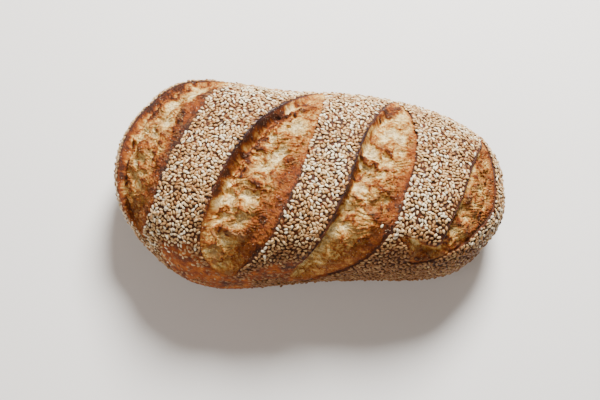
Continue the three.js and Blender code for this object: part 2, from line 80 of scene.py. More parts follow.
# Slashes over the unrolled crust. A row of five numbers holds for even stations along the slash: the
# way from its chord to its left and right edges, the height of its ear, the depth of its pocket, the
# share of its width at which the baked band starts, and how brown the band is. The ear fades out at
# ear_end. The face is the width of its dark inner side, and the apron is how far the toasted flakes
# beside it reach. Baked, end_baked and apron_baked brown the crumb, its front end and the apron.
# Clear is the room that seeds leave to the left edge. A patch is a hollow or a crag: its place and
# half-size as shares along and across, how far it lifts the crumb, and how much browner it is; in a
# hollow, browning above 0 is painted shade inside it.
SLASHES = {
    "a": {
        "back": (-58, 72), "front": (-142, -54),
        "left": (0, 28, 43, 41, 42), "right": (-9, -12, -12, -14, -2),
        "ear": (0.8, 1.2, 1.4, 1.4, 1.0), "pocket": (2.2, 3.2, 4.2, 4.2, 3.0), "rim": 1.2, "seed": 11,
        "steps": (168, 440), "ear_end": 1.1, "burnt": 1.0, "face": 1.1, "clear": 0.7,
        "apron": 12.0, "apron_baked": 0.38, "baked": 0.0, "end_baked": 0.12,
        "bands": (0.90, 0.71, 0.78, 0.74, 0.62), "browned": (0.68, 0.84, 0.86, 0.72, 0.60),
        "patches": (
            (0.21, 0.66, 0.06, 0.16, -0.3, -0.35), (0.32, 0.42, 0.07, 0.16, -0.4, -0.45),
            (0.4, 0.62, 0.05, 0.14, -0.4, -0.35), (0.45, 0.42, 0.024, 0.08, 0.9, 0.5),
            (0.482, 0.52, 0.026, 0.09, -1.3, -0.45), (0.545, 0.36, 0.03, 0.07, 0.9, 0.5),
            (0.61, 0.58, 0.03, 0.1, 0.5, 0.2), (0.665, 0.42, 0.03, 0.08, -1.3, -0.35),
            (0.74, 0.42, 0.035, 0.07, -1.4, -0.35), (0.734, 0.58, 0.03, 0.07, -1.0, -0.3),
            (0.821, 0.52, 0.035, 0.1, -2.8, 0.55), (0.57, 0.7, 0.03, 0.05, 0.8, 0.7),
            (0.51, 0.73, 0.02, 0.05, 0.8, 0.7),
        ),
    },
    "b": {
        "back": (11, 68), "front": (-62, -78),
        "left": (3, 14, 23, 24, 24), "right": (-8, -14, -20, -19, -6),
        "ear": (1.0, 1.7, 2.8, 2.6, 2.0), "pocket": (2.6, 4.6, 8.4, 7.4, 5.5), "rim": 1.6, "seed": 12,
        "steps": (164, 540), "ear_end": 0.83, "burnt": 1.0, "face": 1.1, "clear": 0.7,
        "apron": 10.0, "apron_baked": 0.27, "baked": 0.0, "end_baked": 0.07,
        "bands": (0.97, 0.93, 0.72, 0.65, 0.86), "browned": (0.32, 0.54, 0.68, 0.66, 0.48),
        "patches": (
            (0.276, 0.18, 0.023, 0.12, 1.7, 1.0), (0.247, 0.32, 0.027, 0.14, 2.3, 1.1),
            (0.218, 0.47, 0.021, 0.12, 1.6, 0.9), (0.285, 0.68, 0.05, 0.22, -1.0, -0.6),
            (0.3, 0.45, 0.008, 0.06, -1.6, 0.2), (0.377, 0.27, 0.03, 0.11, -1.5, -0.4),
            (0.454, 0.24, 0.018, 0.13, 1.6, 0.7), (0.478, 0.24, 0.014, 0.1, -1.6, 0.0),
            (0.44, 0.4, 0.02, 0.08, 0.9, 0.45), (0.423, 0.57, 0.042, 0.14, -2.0, -0.5),
            (0.5, 0.46, 0.03, 0.2, -0.8, -0.4), (0.505, 0.15, 0.03, 0.07, 1.0, 0.8),
            (0.587, 0.43, 0.022, 0.12, 1.5, 0.6), (0.556, 0.48, 0.02, 0.16, 0.9, 0.25),
            (0.636, 0.48, 0.034, 0.16, -2.5, -0.12), (0.675, 0.19, 0.038, 0.12, -2.9, -0.1),
            (0.735, 0.27, 0.01, 0.12, 0.9, 0.25), (0.77, 0.18, 0.034, 0.1, -2.0, -0.1),
            (0.7, 0.48, 0.012, 0.14, 0.9, 0.25), (0.75, 0.48, 0.038, 0.16, -2.4, -0.15),
            (0.812, 0.41, 0.016, 0.06, 0.9, 0.6), (0.795, 0.45, 0.01, 0.22, 0.7, 0.15),
            (0.85, 0.5, 0.035, 0.18, -0.8, -0.1), (0.9, 0.3, 0.04, 0.26, -0.6, -0.05),
            (0.935, 0.58, 0.03, 0.2, -0.3, 0.0), (0.865, 0.24, 0.014, 0.07, 0.8, 0.6),
        ),
    },
    "c": {
        "back": (66, 63), "front": (-12, -106),
        "left": (6, 10, 6, 8, 24), "right": (-9, -25, -30, -34, -30),
        "ear": (1.0, 1.6, 2.0, 2.0, 1.6), "pocket": (2.8, 5.0, 6.4, 6.4, 5.0), "rim": 1.4, "seed": 13,
        "steps": (160, 580), "ear_end": 0.86, "burnt": 1.0, "face": 0.6, "clear": 1.1,
        "apron": 5.0, "apron_baked": 0.10, "baked": 0.01, "end_baked": -0.03,
        "bands": (0.95, 0.82, 0.70, 0.60, 0.42), "browned": (0.50, 0.54, 0.71, 0.60, 0.32),
        "patches": (
            (0.165, 0.07, 0.04, 0.13, 1.6, 0.95), (0.125, 0.2, 0.055, 0.32, 2.2, 1.25),
            (0.08, 0.42, 0.045, 0.34, 1.6, 1.1), (0.09, 0.72, 0.03, 0.26, -0.2, -0.4),
            (0.211, 0.44, 0.048, 0.2, -1.7, -0.6), (0.286, 0.2, 0.014, 0.16, 0.9, 0.2),
            (0.322, 0.23, 0.034, 0.18, -1.5, -0.7), (0.305, 0.52, 0.02, 0.1, 0.9, 0.35),
            (0.362, 0.09, 0.016, 0.14, 2.0, 0.5), (0.367, 0.27, 0.018, 0.18, 2.8, 0.5),
            (0.374, 0.46, 0.016, 0.16, 2.0, 0.45), (0.408, 0.26, 0.036, 0.22, -3.2, 0.22),
            (0.459, 0.23, 0.034, 0.15, -2.0, -0.5), (0.443, 0.5, 0.032, 0.09, 1.0, 0.45),
            (0.506, 0.24, 0.011, 0.16, 1.3, 0.2), (0.557, 0.19, 0.038, 0.17, -3.0, 0.26),
            (0.532, 0.52, 0.03, 0.12, 0.9, 0.5), (0.615, 0.24, 0.02, 0.14, 0.5, 0.2),
            (0.642, 0.63, 0.015, 0.05, 0.9, 0.5), (0.655, 0.62, 0.008, 0.03, -1.2, 0.3),
            (0.662, 0.17, 0.035, 0.15, -0.9, -0.35), (0.725, 0.18, 0.04, 0.18, -0.7, -0.35),
            (0.8, 0.2, 0.05, 0.18, -0.5, -0.1), (0.88, 0.22, 0.06, 0.22, -0.3, -0.05),
        ),
    },
    "d": {
        "back": (139, 44), "front": (84, -62),
        "left": (-2, 5, 5, 6, 7), "right": (-4, -28, -35, -25, -9),
        "ear": (0.8, 1.4, 1.6, 1.6, 1.2), "pocket": (2.0, 3.2, 4.0, 3.6, 2.6), "rim": 1.2, "seed": 14,
        "open": "front", "steps": (150, 420), "ear_end": 1.1, "burnt": 0.9, "face": 0.9, "clear": 1.6,
        "apron": 5.0, "apron_baked": 0.14, "baked": 0.14, "end_baked": 0.0,
        "bands": (0.7, 0.82, 0.84, 0.84, 0.80), "browned": (0.62, 0.63, 0.64, 0.72, 0.72),
        "patches": (
            (0.43, 0.2, 0.03, 0.1, 0.7, 0.45), (0.6, 0.16, 0.03, 0.1, 0.7, 0.5),
            (0.48, 0.46, 0.045, 0.13, -0.9, -0.35), (0.592, 0.44, 0.028, 0.13, -0.9, -0.3),
            (0.716, 0.46, 0.04, 0.17, -1.1, -0.4), (0.281, 0.43, 0.014, 0.035, -1.6, 0.6),
            (0.53, 0.6, 0.014, 0.035, -1.6, 0.5), (0.615, 0.67, 0.016, 0.04, -1.6, 0.5),
            (0.72, 0.17, 0.014, 0.04, -1.6, 0.5), (0.36, 0.62, 0.04, 0.1, 0.6, 0.35),
            (0.81, 0.34, 0.05, 0.2, -0.3, -0.2), (0.33, 0.25, 0.03, 0.12, 0.5, 0.25),
            (0.655, 0.72, 0.025, 0.08, 0.8, 0.55),
        ),
    },
    "e": {
        "back": (100, -56), "front": (56, -46),
        "left": (-1, 0, 0, 1.4, 1.4), "right": (-3, -12.5, -19, -8.5, -1),
        "ear": (0.0, 0.2, 0.8, 0.9, 0.6), "pocket": (2.0, 3.4, 4.6, 4.2, 3.0), "rim": 0.8, "seed": 15,
        "open": "back", "steps": (90, 220), "ear_end": 1.1, "burnt": 0.0, "face": 0.0, "clear": 0.4,
        "apron": 0.0, "apron_baked": 0.0, "baked": 0.20, "end_baked": 0.0,
        "bands": (0.6, 0.76, 0.80, 0.90, 0.9), "browned": (0.66, 0.64, 0.60, 0.60, 0.6),
        "patches": (
            (0.78, 0.24, 0.12, 0.34, -1.4, 0.0), (0.66, 0.8, 0.06, 0.2, 0.5, 0.3),
            (0.45, 0.6, 0.08, 0.2, 0.4, 0.25), (0.5, 0.3, 0.07, 0.16, -0.8, 0.1),
            (0.32, 0.4, 0.08, 0.2, 0.3, 0.2),
        ),
    },
}
TIP_BLUNT = 5.0
FULL_WIDTH = 26.0
WALL_WIDTH = 4.6
WALL_SHARE = 0.3
SWELL_POWER = 2.4
CRAG_HEIGHT = 2.6
CRAG_SIZE = 10.0
FINE_CRAG_HEIGHT = 0.9
FINE_CRAG_SIZE = 5.0
CRAG_FROM = 2.6
CRAG_FULL = 8.0
CRAG_END = 0.3
RUN_OUT = 0.05
TIP_HEIGHT = 0.4
EAR_SPREAD = 8.0

# Odd factors that scramble lattice points for the noise, the same as the solid's
SCRAMBLE = np.array([374761393, 668265263, 1442695041], dtype=np.uint32)
SCRAMBLE_SEED = 974634777
SCRAMBLE_AGAIN = np.uint32(1274126177)
WHOLE_RANGE = 4294967295.0

POLE = 1e-12  # keeps a root from failing where a direction points straight up
TINY = 1e-9  # the smallest turn or distance that something is divided by
NARROWEST = 1e-6  # and the smallest width


# Noise

def smoothstep(value, low, high):
    t = np.clip((value - low) / (high - low), 0.0, 1.0)
    return t * t * (3.0 - 2.0 * t)


def falling(value, low, high):
    """From 1 at the low value to 0 at the high one."""
    return 1.0 - smoothstep(value, low, high)


def bell(offset, spread):
    """From 1 at no offset to nearly 0 at twice the spread."""
    return np.exp(-((offset / spread) ** 2))


def blend(a, b, share):
    return a + (b - a) * share


def scramble(cells, seed):
    """Whole numbers to values from -1 to 1."""
    mixed = cells.astype(np.int64).astype(np.uint32) * SCRAMBLE
    h = mixed[:, 0] ^ mixed[:, 1] ^ mixed[:, 2] ^ np.uint32(seed * SCRAMBLE_SEED % 2**32)
    h = (h ^ (h >> np.uint32(13))) * SCRAMBLE_AGAIN
    h ^= h >> np.uint32(16)
    return h / WHOLE_RANGE * 2.0 - 1.0


def noise(points, size, seed):
    """Smooth noise from -1 to 1, one lump to each lattice cell."""
    cell = points / size
    low = np.floor(cell)
    share = cell - low
    share = share ** 3 * (share * (share * 6.0 - 15.0) + 10.0)
    total = np.zeros(len(points))
    for corner in range(8):
        step = np.array([corner & 1, corner >> 1 & 1, corner >> 2])
        weight = np.prod(np.where(step, share, 1.0 - share), axis=1)
        total += weight * scramble(low + step, seed)
    return total


def two_noises(points, broad, fine, share, seed, apart=1):
    """Noise of a broad size with a share of one of a finer size over it."""
    return noise(points, broad, seed) + share * noise(points, fine, seed + apart)


def drift(points, size, seed):
    """Two noises side by side, which shift places on a plane."""
    return np.column_stack([noise(points, size, seed), noise(points, size, seed + 1)])


def on_plane(along, aside):
    return np.column_stack([along, aside, np.zeros(len(along))])


def ridges(points, size, seed):
    """Sharp crests between rounded hollows, from 0 to 1."""
    return 1.0 - np.minimum(np.abs(noise(points, size, seed)) * 2.2, 1.0)


FAR = 9.0  # more cells than there are to any next bubble
BUBBLE_STRAY = 0.42  # a bubble's middle lies this far from its cell's middle at most


def bubbles(flat, seed):
    """Distances on a plane to the nearest and the next bubble's middle, in cells."""
    low = np.floor(flat)
    inside = flat - low
    near = np.full(len(flat), FAR)
    second = np.full(len(flat), FAR)
    for step in np.ndindex(3, 3):
        cell = low + np.array(step) - 1.0
        lattice = on_plane(*cell.T)
        centre = np.column_stack([scramble(lattice, seed), scramble(lattice, seed + 1)]) * BUBBLE_STRAY
        away = np.linalg.norm(np.array(step) - 0.5 + centre - inside, axis=1)
        second = np.minimum(second, np.maximum(near, away))
        near = np.minimum(near, away)
    return near, second


# Form of the loaf

def unit(vectors):
    return vectors / np.linalg.norm(vectors, axis=1, keepdims=True)


def swell(x, y):
    bearing = np.degrees(np.arctan2(y, x))
    factor = np.ones(len(x))
    for at, grow, spread in SWELLS:
        off = (bearing - at + 180.0) % 360.0 - 180.0
        factor += grow * bell(off, spread) * (x * x + y * y)
    return factor


def crust_point(way):
    """Directions from the middle to points of the smooth loaf."""
    end = smoothstep(way[:, 0] * END_SPREAD, -1.0, 1.0)
    power = blend(ROUND_LEFT, ROUND_RIGHT, end)
    plan = (np.abs(way[:, 0]) ** power + np.abs(way[:, 1]) ** power + POLE) ** (1.0 / power)
    reach = (plan ** ROUND_SECTION + np.abs(way[:, 2]) ** ROUND_SECTION) ** (1.0 / ROUND_SECTION)
    x, y, z = (way / reach[:, None]).T
    factor = swell(way[:, 0], way[:, 1])
    rise = HEIGHT * (1.0 + HEIGHT_TAPER * x) - WAIST_HEIGHT
    under = np.maximum(0.0, WAIST_HEIGHT + (WAIST_HEIGHT + SOLE_SINK) * z)
    return np.column_stack([
        HALF_LENGTH * x * factor,
        (HALF_WIDTH * (1.0 + TAPER * x) * y + LEAN * x + BOW * x * x) * factor,
        np.where(z > 0.0, WAIST_HEIGHT + rise * z, under),
    ])


def crust_normal(way):
    step = 0.01
    aside = np.column_stack([-way[:, 1], way[:, 0], np.zeros(len(way))])
    aside[np.linalg.norm(aside, axis=1) < step] = (1.0, 0.0, 0.0)
    aside = unit(aside)
    up = np.cross(way, aside)
    along = [crust_point(unit(way + d * step)) - crust_point(unit(way - d * step)) for d in (aside, up)]
    return unit(np.cross(*along))


def skin_point(way, lift):
    """Points of the uneven crust, lifted by some millimetres, and their outward directions."""
    point = crust_point(way)
    normal = crust_normal(way)
    uneven = UNEVEN_HEIGHT * noise(point, UNEVEN_SIZE, UNEVEN_SEED) * smoothstep(point[:, 2], *UNEVEN_FADE)
    return point + normal * (uneven + lift)[:, None], normal


def direction_at(flat):
    """Places on the unrolled crust to directions."""
    x, y = flat[:, 0] / HALF_LENGTH, flat[:, 1] / HALF_WIDTH
    turn = np.hypot(x, y)
    share = np.where(turn > TINY, np.sin(turn) / np.maximum(turn, TINY), 1.0)
    return np.column_stack([x * share, y * share, np.cos(turn)])


def unrolled(way):
    flat = np.hypot(way[:, 0], way[:, 1])
    turn = np.arctan2(flat, way[:, 2])
    share = np.where(flat > TINY, turn / np.maximum(flat, TINY), 1.0)
    return np.column_stack([way[:, 0] * share * HALF_LENGTH, way[:, 1] * share * HALF_WIDTH])


# Slashes

def through_stations(values, s):
    """A smooth curve through values at even stations from 0 to 1."""
    values = np.asarray(values, float)
    last = len(values) - 1
    place = np.clip(s, 0.0, 1.0) * last
    i = np.minimum(np.floor(place).astype(int), last - 1)
    t = place - i
    spread = np.concatenate([[2 * values[0] - values[1]], values, [2 * values[-1] - values[-2]]])
    p, q, r, w = (spread[i + k] for k in range(4))
    return (2 * q + (r - p) * t + (2 * p - 5 * q + 4 * r - w) * t**2 + (3 * q - p - 3 * r + w) * t**3) / 2


def chord_of(slash):
    back, front = np.array(slash["back"], float), np.array(slash["front"], float)
    chord = front - back
    length = np.hypot(*chord)
    return back, chord, length, np.array([chord[1], -chord[0]]) / length


def cap(s):
    return np.sqrt(np.maximum(0.0, 1.0 - np.abs(2.0 * np.clip(s, 0.0, 1.0) - 1.0) ** TIP_BLUNT))


def place_in(slash, flat):
    """Where places lie in a slash: share of its length, way across from its left edge, width."""
    back, chord, length, left = chord_of(slash)
    away = flat - back
    s = away @ chord / length**2
    left_edge = cap(s) * through_stations(slash["left"], s)
    right_edge = cap(s) * through_stations(slash["right"], s)
    return s, left_edge - away @ left, left_edge - right_edge


def tip_fade(slash, s, spread):
    """From 0 at a slash's tips to 1 along it. A tip that opens into another slash doesn't run out."""
    opens = slash.get("open")
    from_back = np.ones(len(s)) if opens == "back" else s
    from_front = np.ones(len(s)) if opens == "front" else 1.0 - s
    return smoothstep(np.minimum(from_back, from_front), 0.0, spread)


def ear_share(slash, s):
    """The ear fades out towards the front end of some slashes."""
    return falling(s, slash["ear_end"] - 0.1, slash["ear_end"] + 0.04)


def ear_lift(slash, s, across, width):
    """How far the crust rises towards the slash's left edge."""
    depth = np.minimum(1.0, width / FULL_WIDTH) * ear_share(slash, s)
    tall = through_stations(slash["ear"], s) * tip_fade(slash, s, RUN_OUT * 2)
    return tall * depth * bell(across, EAR_SPREAD)


def highest_ear(way):
    flat = unrolled(way)
    return np.max([ear_lift(slash, *place_in(slash, flat)) for slash in SLASHES.values()], axis=0)


def torn_floor(slash, s, across, width):
    """Height of the torn crumb without its crags, and how deep the slash is there from 0 to 1."""
    depth = np.minimum(1.0, width / FULL_WIDTH)
    ear = ear_share(slash, s)
    wall = np.minimum(WALL_WIDTH, width * WALL_SHARE) * blend(2.2, 1.0, ear)
    share = np.clip((across - wall) / np.maximum(width - wall, NARROWEST), 0.0, 1.0)
    pocket = through_stations(slash["pocket"], s) * blend(0.6, 1.0, ear)
    floor = -pocket + (pocket - slash["rim"]) * (1.0 - (1.0 - share) ** SWELL_POWER)
    down = smoothstep(across / np.maximum(wall, NARROWEST), 0.0, 1.0)
    tip = tip_fade(slash, s, RUN_OUT)
    top = through_stations(slash["ear"], s) * ear
    return blend(top, floor, down) * depth * tip + (1.0 - tip) * TIP_HEIGHT, depth * tip


def crags(slash, point, across, width):
    """Coarse relief of the torn crumb, which the solid has too."""
    inside = smoothstep(across, CRAG_FROM, CRAG_FULL)
    inside *= smoothstep((width - across) / np.maximum(width * CRAG_END, NARROWEST), 0.0, 1.0)
    coarse = CRAG_HEIGHT * noise(point, CRAG_SIZE, slash["seed"])
    return inside * (coarse + FINE_CRAG_HEIGHT * noise(point, FINE_CRAG_SIZE, slash["seed"] + 10))


# Meshes

def vertex_places(bm):
    return np.array([v.co for v in bm.verts], float)


def mesh_of(bm, name):
    mesh = bpy.data.meshes.new(name)
    bm.to_mesh(mesh)
    bm.free()
    return mesh


def in_scene(name, data):
    thing = bpy.data.objects.new(name, data)
    bpy.context.scene.collection.objects.link(thing)
    return thing


def finished_piece(name, mesh, places, material, marks):
    """A mesh whose vertices go to places in millimetres, as a piece of the loaf.

    Marks are values from 0 to 1 for each vertex, which the material reads by name.
    """
    mesh.vertices.foreach_set("co", ((places - MIDDLE) * MM).astype(np.float32).ravel())
    mesh.polygons.foreach_set("use_smooth", np.ones(len(mesh.polygons), bool))
    for mark, values in marks.items():
        layer = mesh.attributes.new(name=mark, type="FLOAT", domain="POINT")
        layer.data.foreach_set("value", np.clip(values, 0.0, 1.0).astype(np.float32))
    mesh.materials.append(material)
    mesh.update()
    mesh.validate()
    piece = in_scene(name, mesh)
    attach(piece, "root")
    return piece


def point_outwards(mesh):
    bm = bmesh.new()
    bm.from_mesh(mesh)
    if bm.calc_volume(signed=True) < 0.0:
        bmesh.ops.reverse_faces(bm, faces=bm.faces)
        bm.to_mesh(mesh)
    bm.free()


def ball(steps, cuts):
    """A finely divided ball of triangles of even size."""
    bm = bmesh.new()
    bmesh.ops.create_icosphere(bm, subdivisions=steps, radius=1.0)
    if cuts:
        bmesh.ops.subdivide_edges(bm, edges=bm.edges[:], cuts=cuts, use_grid_fill=True)
    ways = unit(vertex_places(bm))
    return mesh_of(bm, "ball"), ways


# Crust

CRUST_STEPS = 5
CRUST_CUTS = 5
TRENCH = 3.6  # the crust runs this far below the torn crumb
CHAR_SPREAD = 1.35
BARE_PLACES = [  # smooth brown crust with few seeds: its middle, half-sizes and turn in degrees
    (-104, -70, 30, 17, 24), (-74, -88, 22, 26, 0), (-26, -82, 32, 12, 8), (-10, -104, 26, 14, 0),
    (-100, -106, 58, 20, -14),
]


def bareness(flat):
    """How bare of seeds the crust is, from 0 to 1."""
    bare = np.zeros(len(flat))
    for u, v, long_half, short_half, turn in BARE_PLACES:
        away = flat - (u, v)
        c, s = math.cos(math.radians(turn)), math.sin(math.radians(turn))
        along = (away[:, 0] * c + away[:, 1] * s) / long_half
        aside = (away[:, 1] * c - away[:, 0] * s) / short_half
        bare = np.maximum(bare, falling(np.hypot(along, aside), 0.75, 1.15))
    return bare


def crust_lift(way, point):
    """How far the crust stands over the smooth loaf, and how near it is to a burnt ear."""
    flat = unrolled(way)
    lift, sink, char = np.zeros((3, len(way)))
    for slash in SLASHES.values():
        s, across, width = place_in(slash, flat)
        ear = ear_lift(slash, s, across, width)
        lift = np.maximum(lift, ear)
        burnt = slash["burnt"] * ear_share(slash, s) * tip_fade(slash, s, RUN_OUT)
        char = np.maximum(char, bell(across, CHAR_SPREAD) * burnt)
        floor, _ = torn_floor(slash, s, across, width)
        bed = floor + crags(slash, point, across, width) - TRENCH
        inside = smoothstep(across, 0.2, 2.0) * smoothstep(width - across, -0.4, 1.4)
        inside *= tip_fade(slash, s, 0.03)
        sink = np.where(inside > 0.0, np.minimum(sink, inside * (bed - ear)), sink)
    return lift + sink, char


def make_crust(settings, material):
    """The whole browned skin, sunk under the torn crumb, with its flat sole."""
    mesh, ways = ball(CRUST_STEPS, CRUST_CUTS)
    smooth = crust_point(ways)
    lift, char = crust_lift(ways, smooth)
    above_sole = smoothstep(smooth[:, 2], 1.0, 8.0)
    fine = settings.blister_height / MM * two_noises(smooth, 4.5, 2.2, 0.6, 31) * above_sole
    places, _ = skin_point(ways, lift + fine)
    bare = bareness(unrolled(ways))
    broad = 0.5 + 0.5 * noise(smooth, 26.0, 33)
    # Seeded crust sits near the darkest tone: partly its bake, partly painted shade between the seeds; bare
    # crust is lighter
    toast = 0.95 + 0.06 * broad + 0.05 * noise(smooth, 7.0, 34)
    toast += bare * (-0.20 + 0.12 * noise(smooth, 8.0, 35) + 0.20 * noise(smooth, 3.4, 36))
    sole = falling(smooth[:, 2], 0.3, 5.0)
    marks = {"toast": toast, "char": char * 0.8, "sole": sole, "bare": bare}
    piece = finished_piece("loaf_crust", mesh, places, material, marks)
    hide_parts("loaf")


# Torn crumb

TOP_SHARE = 0.93  # of the steps round a torn piece that lie on its upper side
MARGIN = 1.7  # the torn crumb runs this far under the crust at both edges
CROWDING = 1.2  # above 1, the steps across a slash are closer beside its ear
BORDER_DEPTH = 1.6  # of its underside at both edges, below the smooth loaf
UNDERSIDE = 17.0  # how much deeper the underside lies in the middle
OPEN_DIP = 4.0  # a tip that opens into another slash dives this far under its crumb


def spread_out(values, rows, columns):
    """Values of a torn piece's vertices as a table of its rings, from its back tip to its front tip."""
    table = np.zeros((rows.max() + 1, columns.max() + 1))
    table[rows, columns] = values
    table[0], table[-1] = values[rows == 0][0], values[rows == rows.max()][0]
    return table


def running_mean(table, half, axis):
    pad = [(0, 0), (0, 0)]
    pad[axis] = (half + 1, half)
    total = np.cumsum(np.pad(table, pad, mode="edge"), axis=axis)
    ahead = np.take(total, range(2 * half + 1, total.shape[axis]), axis=axis)
    behind = np.take(total, range(total.shape[axis] - 2 * half - 1), axis=axis)
    return (ahead - behind) / (2 * half + 1)


def standing_out(values, rows, columns, half):
    """How far values stand over their mean round about."""
    table = spread_out(values, rows, columns)
    mean = table
    for _ in range(2):
        mean = running_mean(running_mean(mean, half, 0), half, 1)
    return (table - mean)[rows, columns]


def webs(flat, seed, wide):
    """Thin walls between bubbles, from 0 to 1, and how deep inside a bubble a place is."""
    near, second = bubbles(flat, seed)
    return falling(second - near, 0.0, wide), np.clip(1.0 - near / 0.55, 0.0, 1.0)


CRAG_BACK = 0.010  # a crag's crest lies this share of the slash's length behind its place
END_SPAN = (0.72, 0.85)  # between these shares of its length a slash changes to its front end
STANDING = ((12, 1.0), (7, 0.6), (3, 0.28))  # steps to each side, and the height that stands out fully


def patched(slash, s, share, wander, jag):
    """Lift, browning and calmness from a slash's hollows and crags. A hollow's browning above 0 is painted
    shade.
    """
    lift, brown, calm = np.zeros((3, len(s)))
    for at_s, at_t, half_s, half_t, up, toasted in slash["patches"]:
        stray = 1.0 if up < 0.0 else 0.5
        along = (s - at_s + 0.011 * stray * wander[:, 0]) / half_s
        aside = (share - at_t + 0.05 * stray * wander[:, 1]) / half_t
        if up < 0.0:
            off = np.hypot(along, aside) + 0.12 * jag
            here = falling(off, 0.15, 1.15)
            brim = bell(off - 1.12, 0.15) * smoothstep(jag, -0.5, 0.8) * min(1.0, -up)
            lift += up * here * (1.0 - 0.4 * np.clip(along, -1.0, 1.0)) + 0.12 * brim
            brown += 0.05 * brim
            calm = np.maximum(calm, here)
        else:
            along += 0.3 * jag + CRAG_BACK / half_s
            here = smoothstep(along, -1.4, 0.0) * falling(along, 0.1, 0.6)
            here *= falling(np.abs(aside), 0.4, 1.15)
            lift += up * here
        # Crags brown where toasted; a hollow with browning above 0 is darkened as painted shade inside it
        brown += toasted * here
    return lift, brown, calm


class Tear:
    """Where the vertices of a torn piece lie in its slash, and which region each one belongs to."""

    def __init__(self, slash, point, s, across, width):
        seed = slash["seed"]
        self.slash, self.seed, self.point = slash, seed, point
        self.s, self.across, self.width = s, across, width
        self.share = across / np.maximum(width, NARROWEST)
        self.floor, self.depth = torn_floor(slash, s, across, width)
        self.ear = ear_share(slash, s)
        self.narrow = np.minimum(1.0, width / 20.0)
        wander = drift(point, 7.0, seed + 20) + 0.6 * drift(point, 3.0, seed + 22)
        jag = two_noises(point, 3.0, 1.3, 0.5, seed + 27)
        self.stain = two_noises(point, 6.0, 2.6, 0.6, seed + 74)
        self.grain = two_noises(point, 0.9, 1.6, 0.5, seed + 76)

        # The ear's inner face, the toasted apron beside it, the baked band, and the crumb between
        face = slash["face"] * (1.0 + 0.3 * noise(point, 11.0, seed + 24)) + 0.45 * jag
        face *= self.narrow
        self.on_face = falling(across, face - 0.3, face + 0.5) * self.ear
        reach = slash["apron"] * (1.0 + 0.3 * noise(point, 8.0, seed + 29))
        reach = (reach + 0.8 * noise(point, 5.0, seed + 30)) * self.narrow
        self.apron = falling(across + 1.6 * jag, reach - 2.5, reach + 1.5) * self.ear
        self.apron *= (1.0 - self.on_face) * smoothstep(s, 0.03, 0.16)
        self.start = through_stations(slash["bands"], s) + 0.05 * noise(point, 7.0, seed + 25) + 0.035 * jag
        self.band = smoothstep(self.share, self.start - 0.04, self.start + 0.08) * (1.0 - self.on_face)
        self.smooth_band = smoothstep(self.share, self.start, self.start + 0.26)
        self.crumb = (1.0 - self.on_face) * (1.0 - 0.85 * self.smooth_band)

        # Calm places hold fine strands, rough ones hold webs between bubbles, folds and flakes
        self.patch_lift, self.patch_tone, self.calm = patched(slash, s, self.share, wander, jag)
        rough = two_noises(point, 9.0, 4.0, 0.4, seed + 63, 3) - 0.9 * self.calm + 0.5 * self.apron
        self.rough = 0.12 + 0.88 * smoothstep(rough, -0.7, 0.6)
        self.flat = np.column_stack([s * chord_of(slash)[2], across]) + wander * 1.7
        along, aside = self.flat.T
        self.web, self.hollow = webs(self.flat / (9.0, 6.5), seed + 40, 0.26)
        self.folds = ridges(point + 1.5 * np.column_stack([wander, wander[:, 0]]), 6.5, seed + 58)
        self.flakes = ridges(point, 2.4, seed + 60) ** 2
        self.fine = ridges(point, 1.2, seed + 61)
        self.strands = ridges(on_plane((along + 0.5 * aside) / 1.7, aside / 6.5), 1.0, seed + 62)
        self.streaks = ridges(on_plane(along / 3.2, aside / 0.8), 1.0, seed + 65)
        border = bell(self.share - self.start, 0.05) * (0.25 + 0.75 * self.flakes) * (1.0 - self.on_face)
        self.crest = border * smoothstep(noise(point, 6.0, seed + 67), -0.2, 0.4)
        pitted = noise(on_plane(along / 3.4, (aside - 0.2 * along) / 1.3), 1.0, seed + 78)
        self.pits = smoothstep(pitted, 0.35, 0.7) * self.smooth_band

    def relief(self):
        """Fine relief in millimetres, over the crags and the hollows."""
        web_small, _ = webs(self.flat / (4.0, 3.0), self.seed + 50, 0.42)
        swells = two_noises(self.point, 4.5, 2.3, 0.5, self.seed + 56)
        relief = 0.38 * self.web * (0.35 + 0.65 * self.rough) - 0.4 * self.hollow
        relief += 0.34 * self.folds * self.rough + 0.34 * self.fine + 0.3 * swells - 0.56
        relief += 0.7 * self.strands * smoothstep(self.across, 4.0, 9.0)
        relief += self.rough * (0.13 * web_small + 0.17 * self.flakes)
        relief *= self.crumb
        lumps = 0.42 * noise(self.point, 5.0, self.seed + 64) + 0.17 * noise(self.point, 1.9, self.seed + 68)
        relief += 0.9 * self.crest + self.smooth_band * (lumps + 0.14 * self.fine) - 0.5 * self.pits
        relief += self.apron * (0.7 * self.flakes + 0.4 * swells) + 0.12 * self.grain
        relief *= blend(0.3, 1.0, smoothstep(self.across, 1.5, 7.0 * self.narrow))
        return relief + self.on_face * (0.35 * self.streaks + 0.3 * noise(self.point, 2.4, self.seed + 69))

    def height(self, crag_relief):
        """Height over the smooth loaf. The ear's crest stands up, and both borders dip under the crust."""
        s, across, width, slash = self.s, self.across, self.width, self.slash
        calmer = 1.0 - 0.5 * self.smooth_band
        coarse = (crags(slash, self.point, across, width) + self.patch_lift) * calmer
        inside = smoothstep(across, 0.3, 2.2) * smoothstep(width - across, 0.0, 2.0)
        height = self.floor + self.depth * inside * (coarse + crag_relief * self.relief())
        crest_lift = (0.25 + 0.35 * noise(self.point, 4.0, self.seed + 70)) * bell(across, 0.8)
        outer = ear_lift(slash, s, np.minimum(across, 0.0), width) - 0.25 * (1.0 - self.ear)
        height = np.where(across < 0.0, outer, height) + crest_lift * self.depth * self.ear
        height -= 1.9 * smoothstep(np.maximum(-across, across - width), 0.2, MARGIN)
        if slash.get("open") == "front":
            height -= OPEN_DIP * smoothstep(s, 0.90, 0.98)
        if slash.get("open") == "back":
            height -= 2.5 * falling(across, -1.0, 5.0) * falling(s, 0.30, 0.42)
        return height

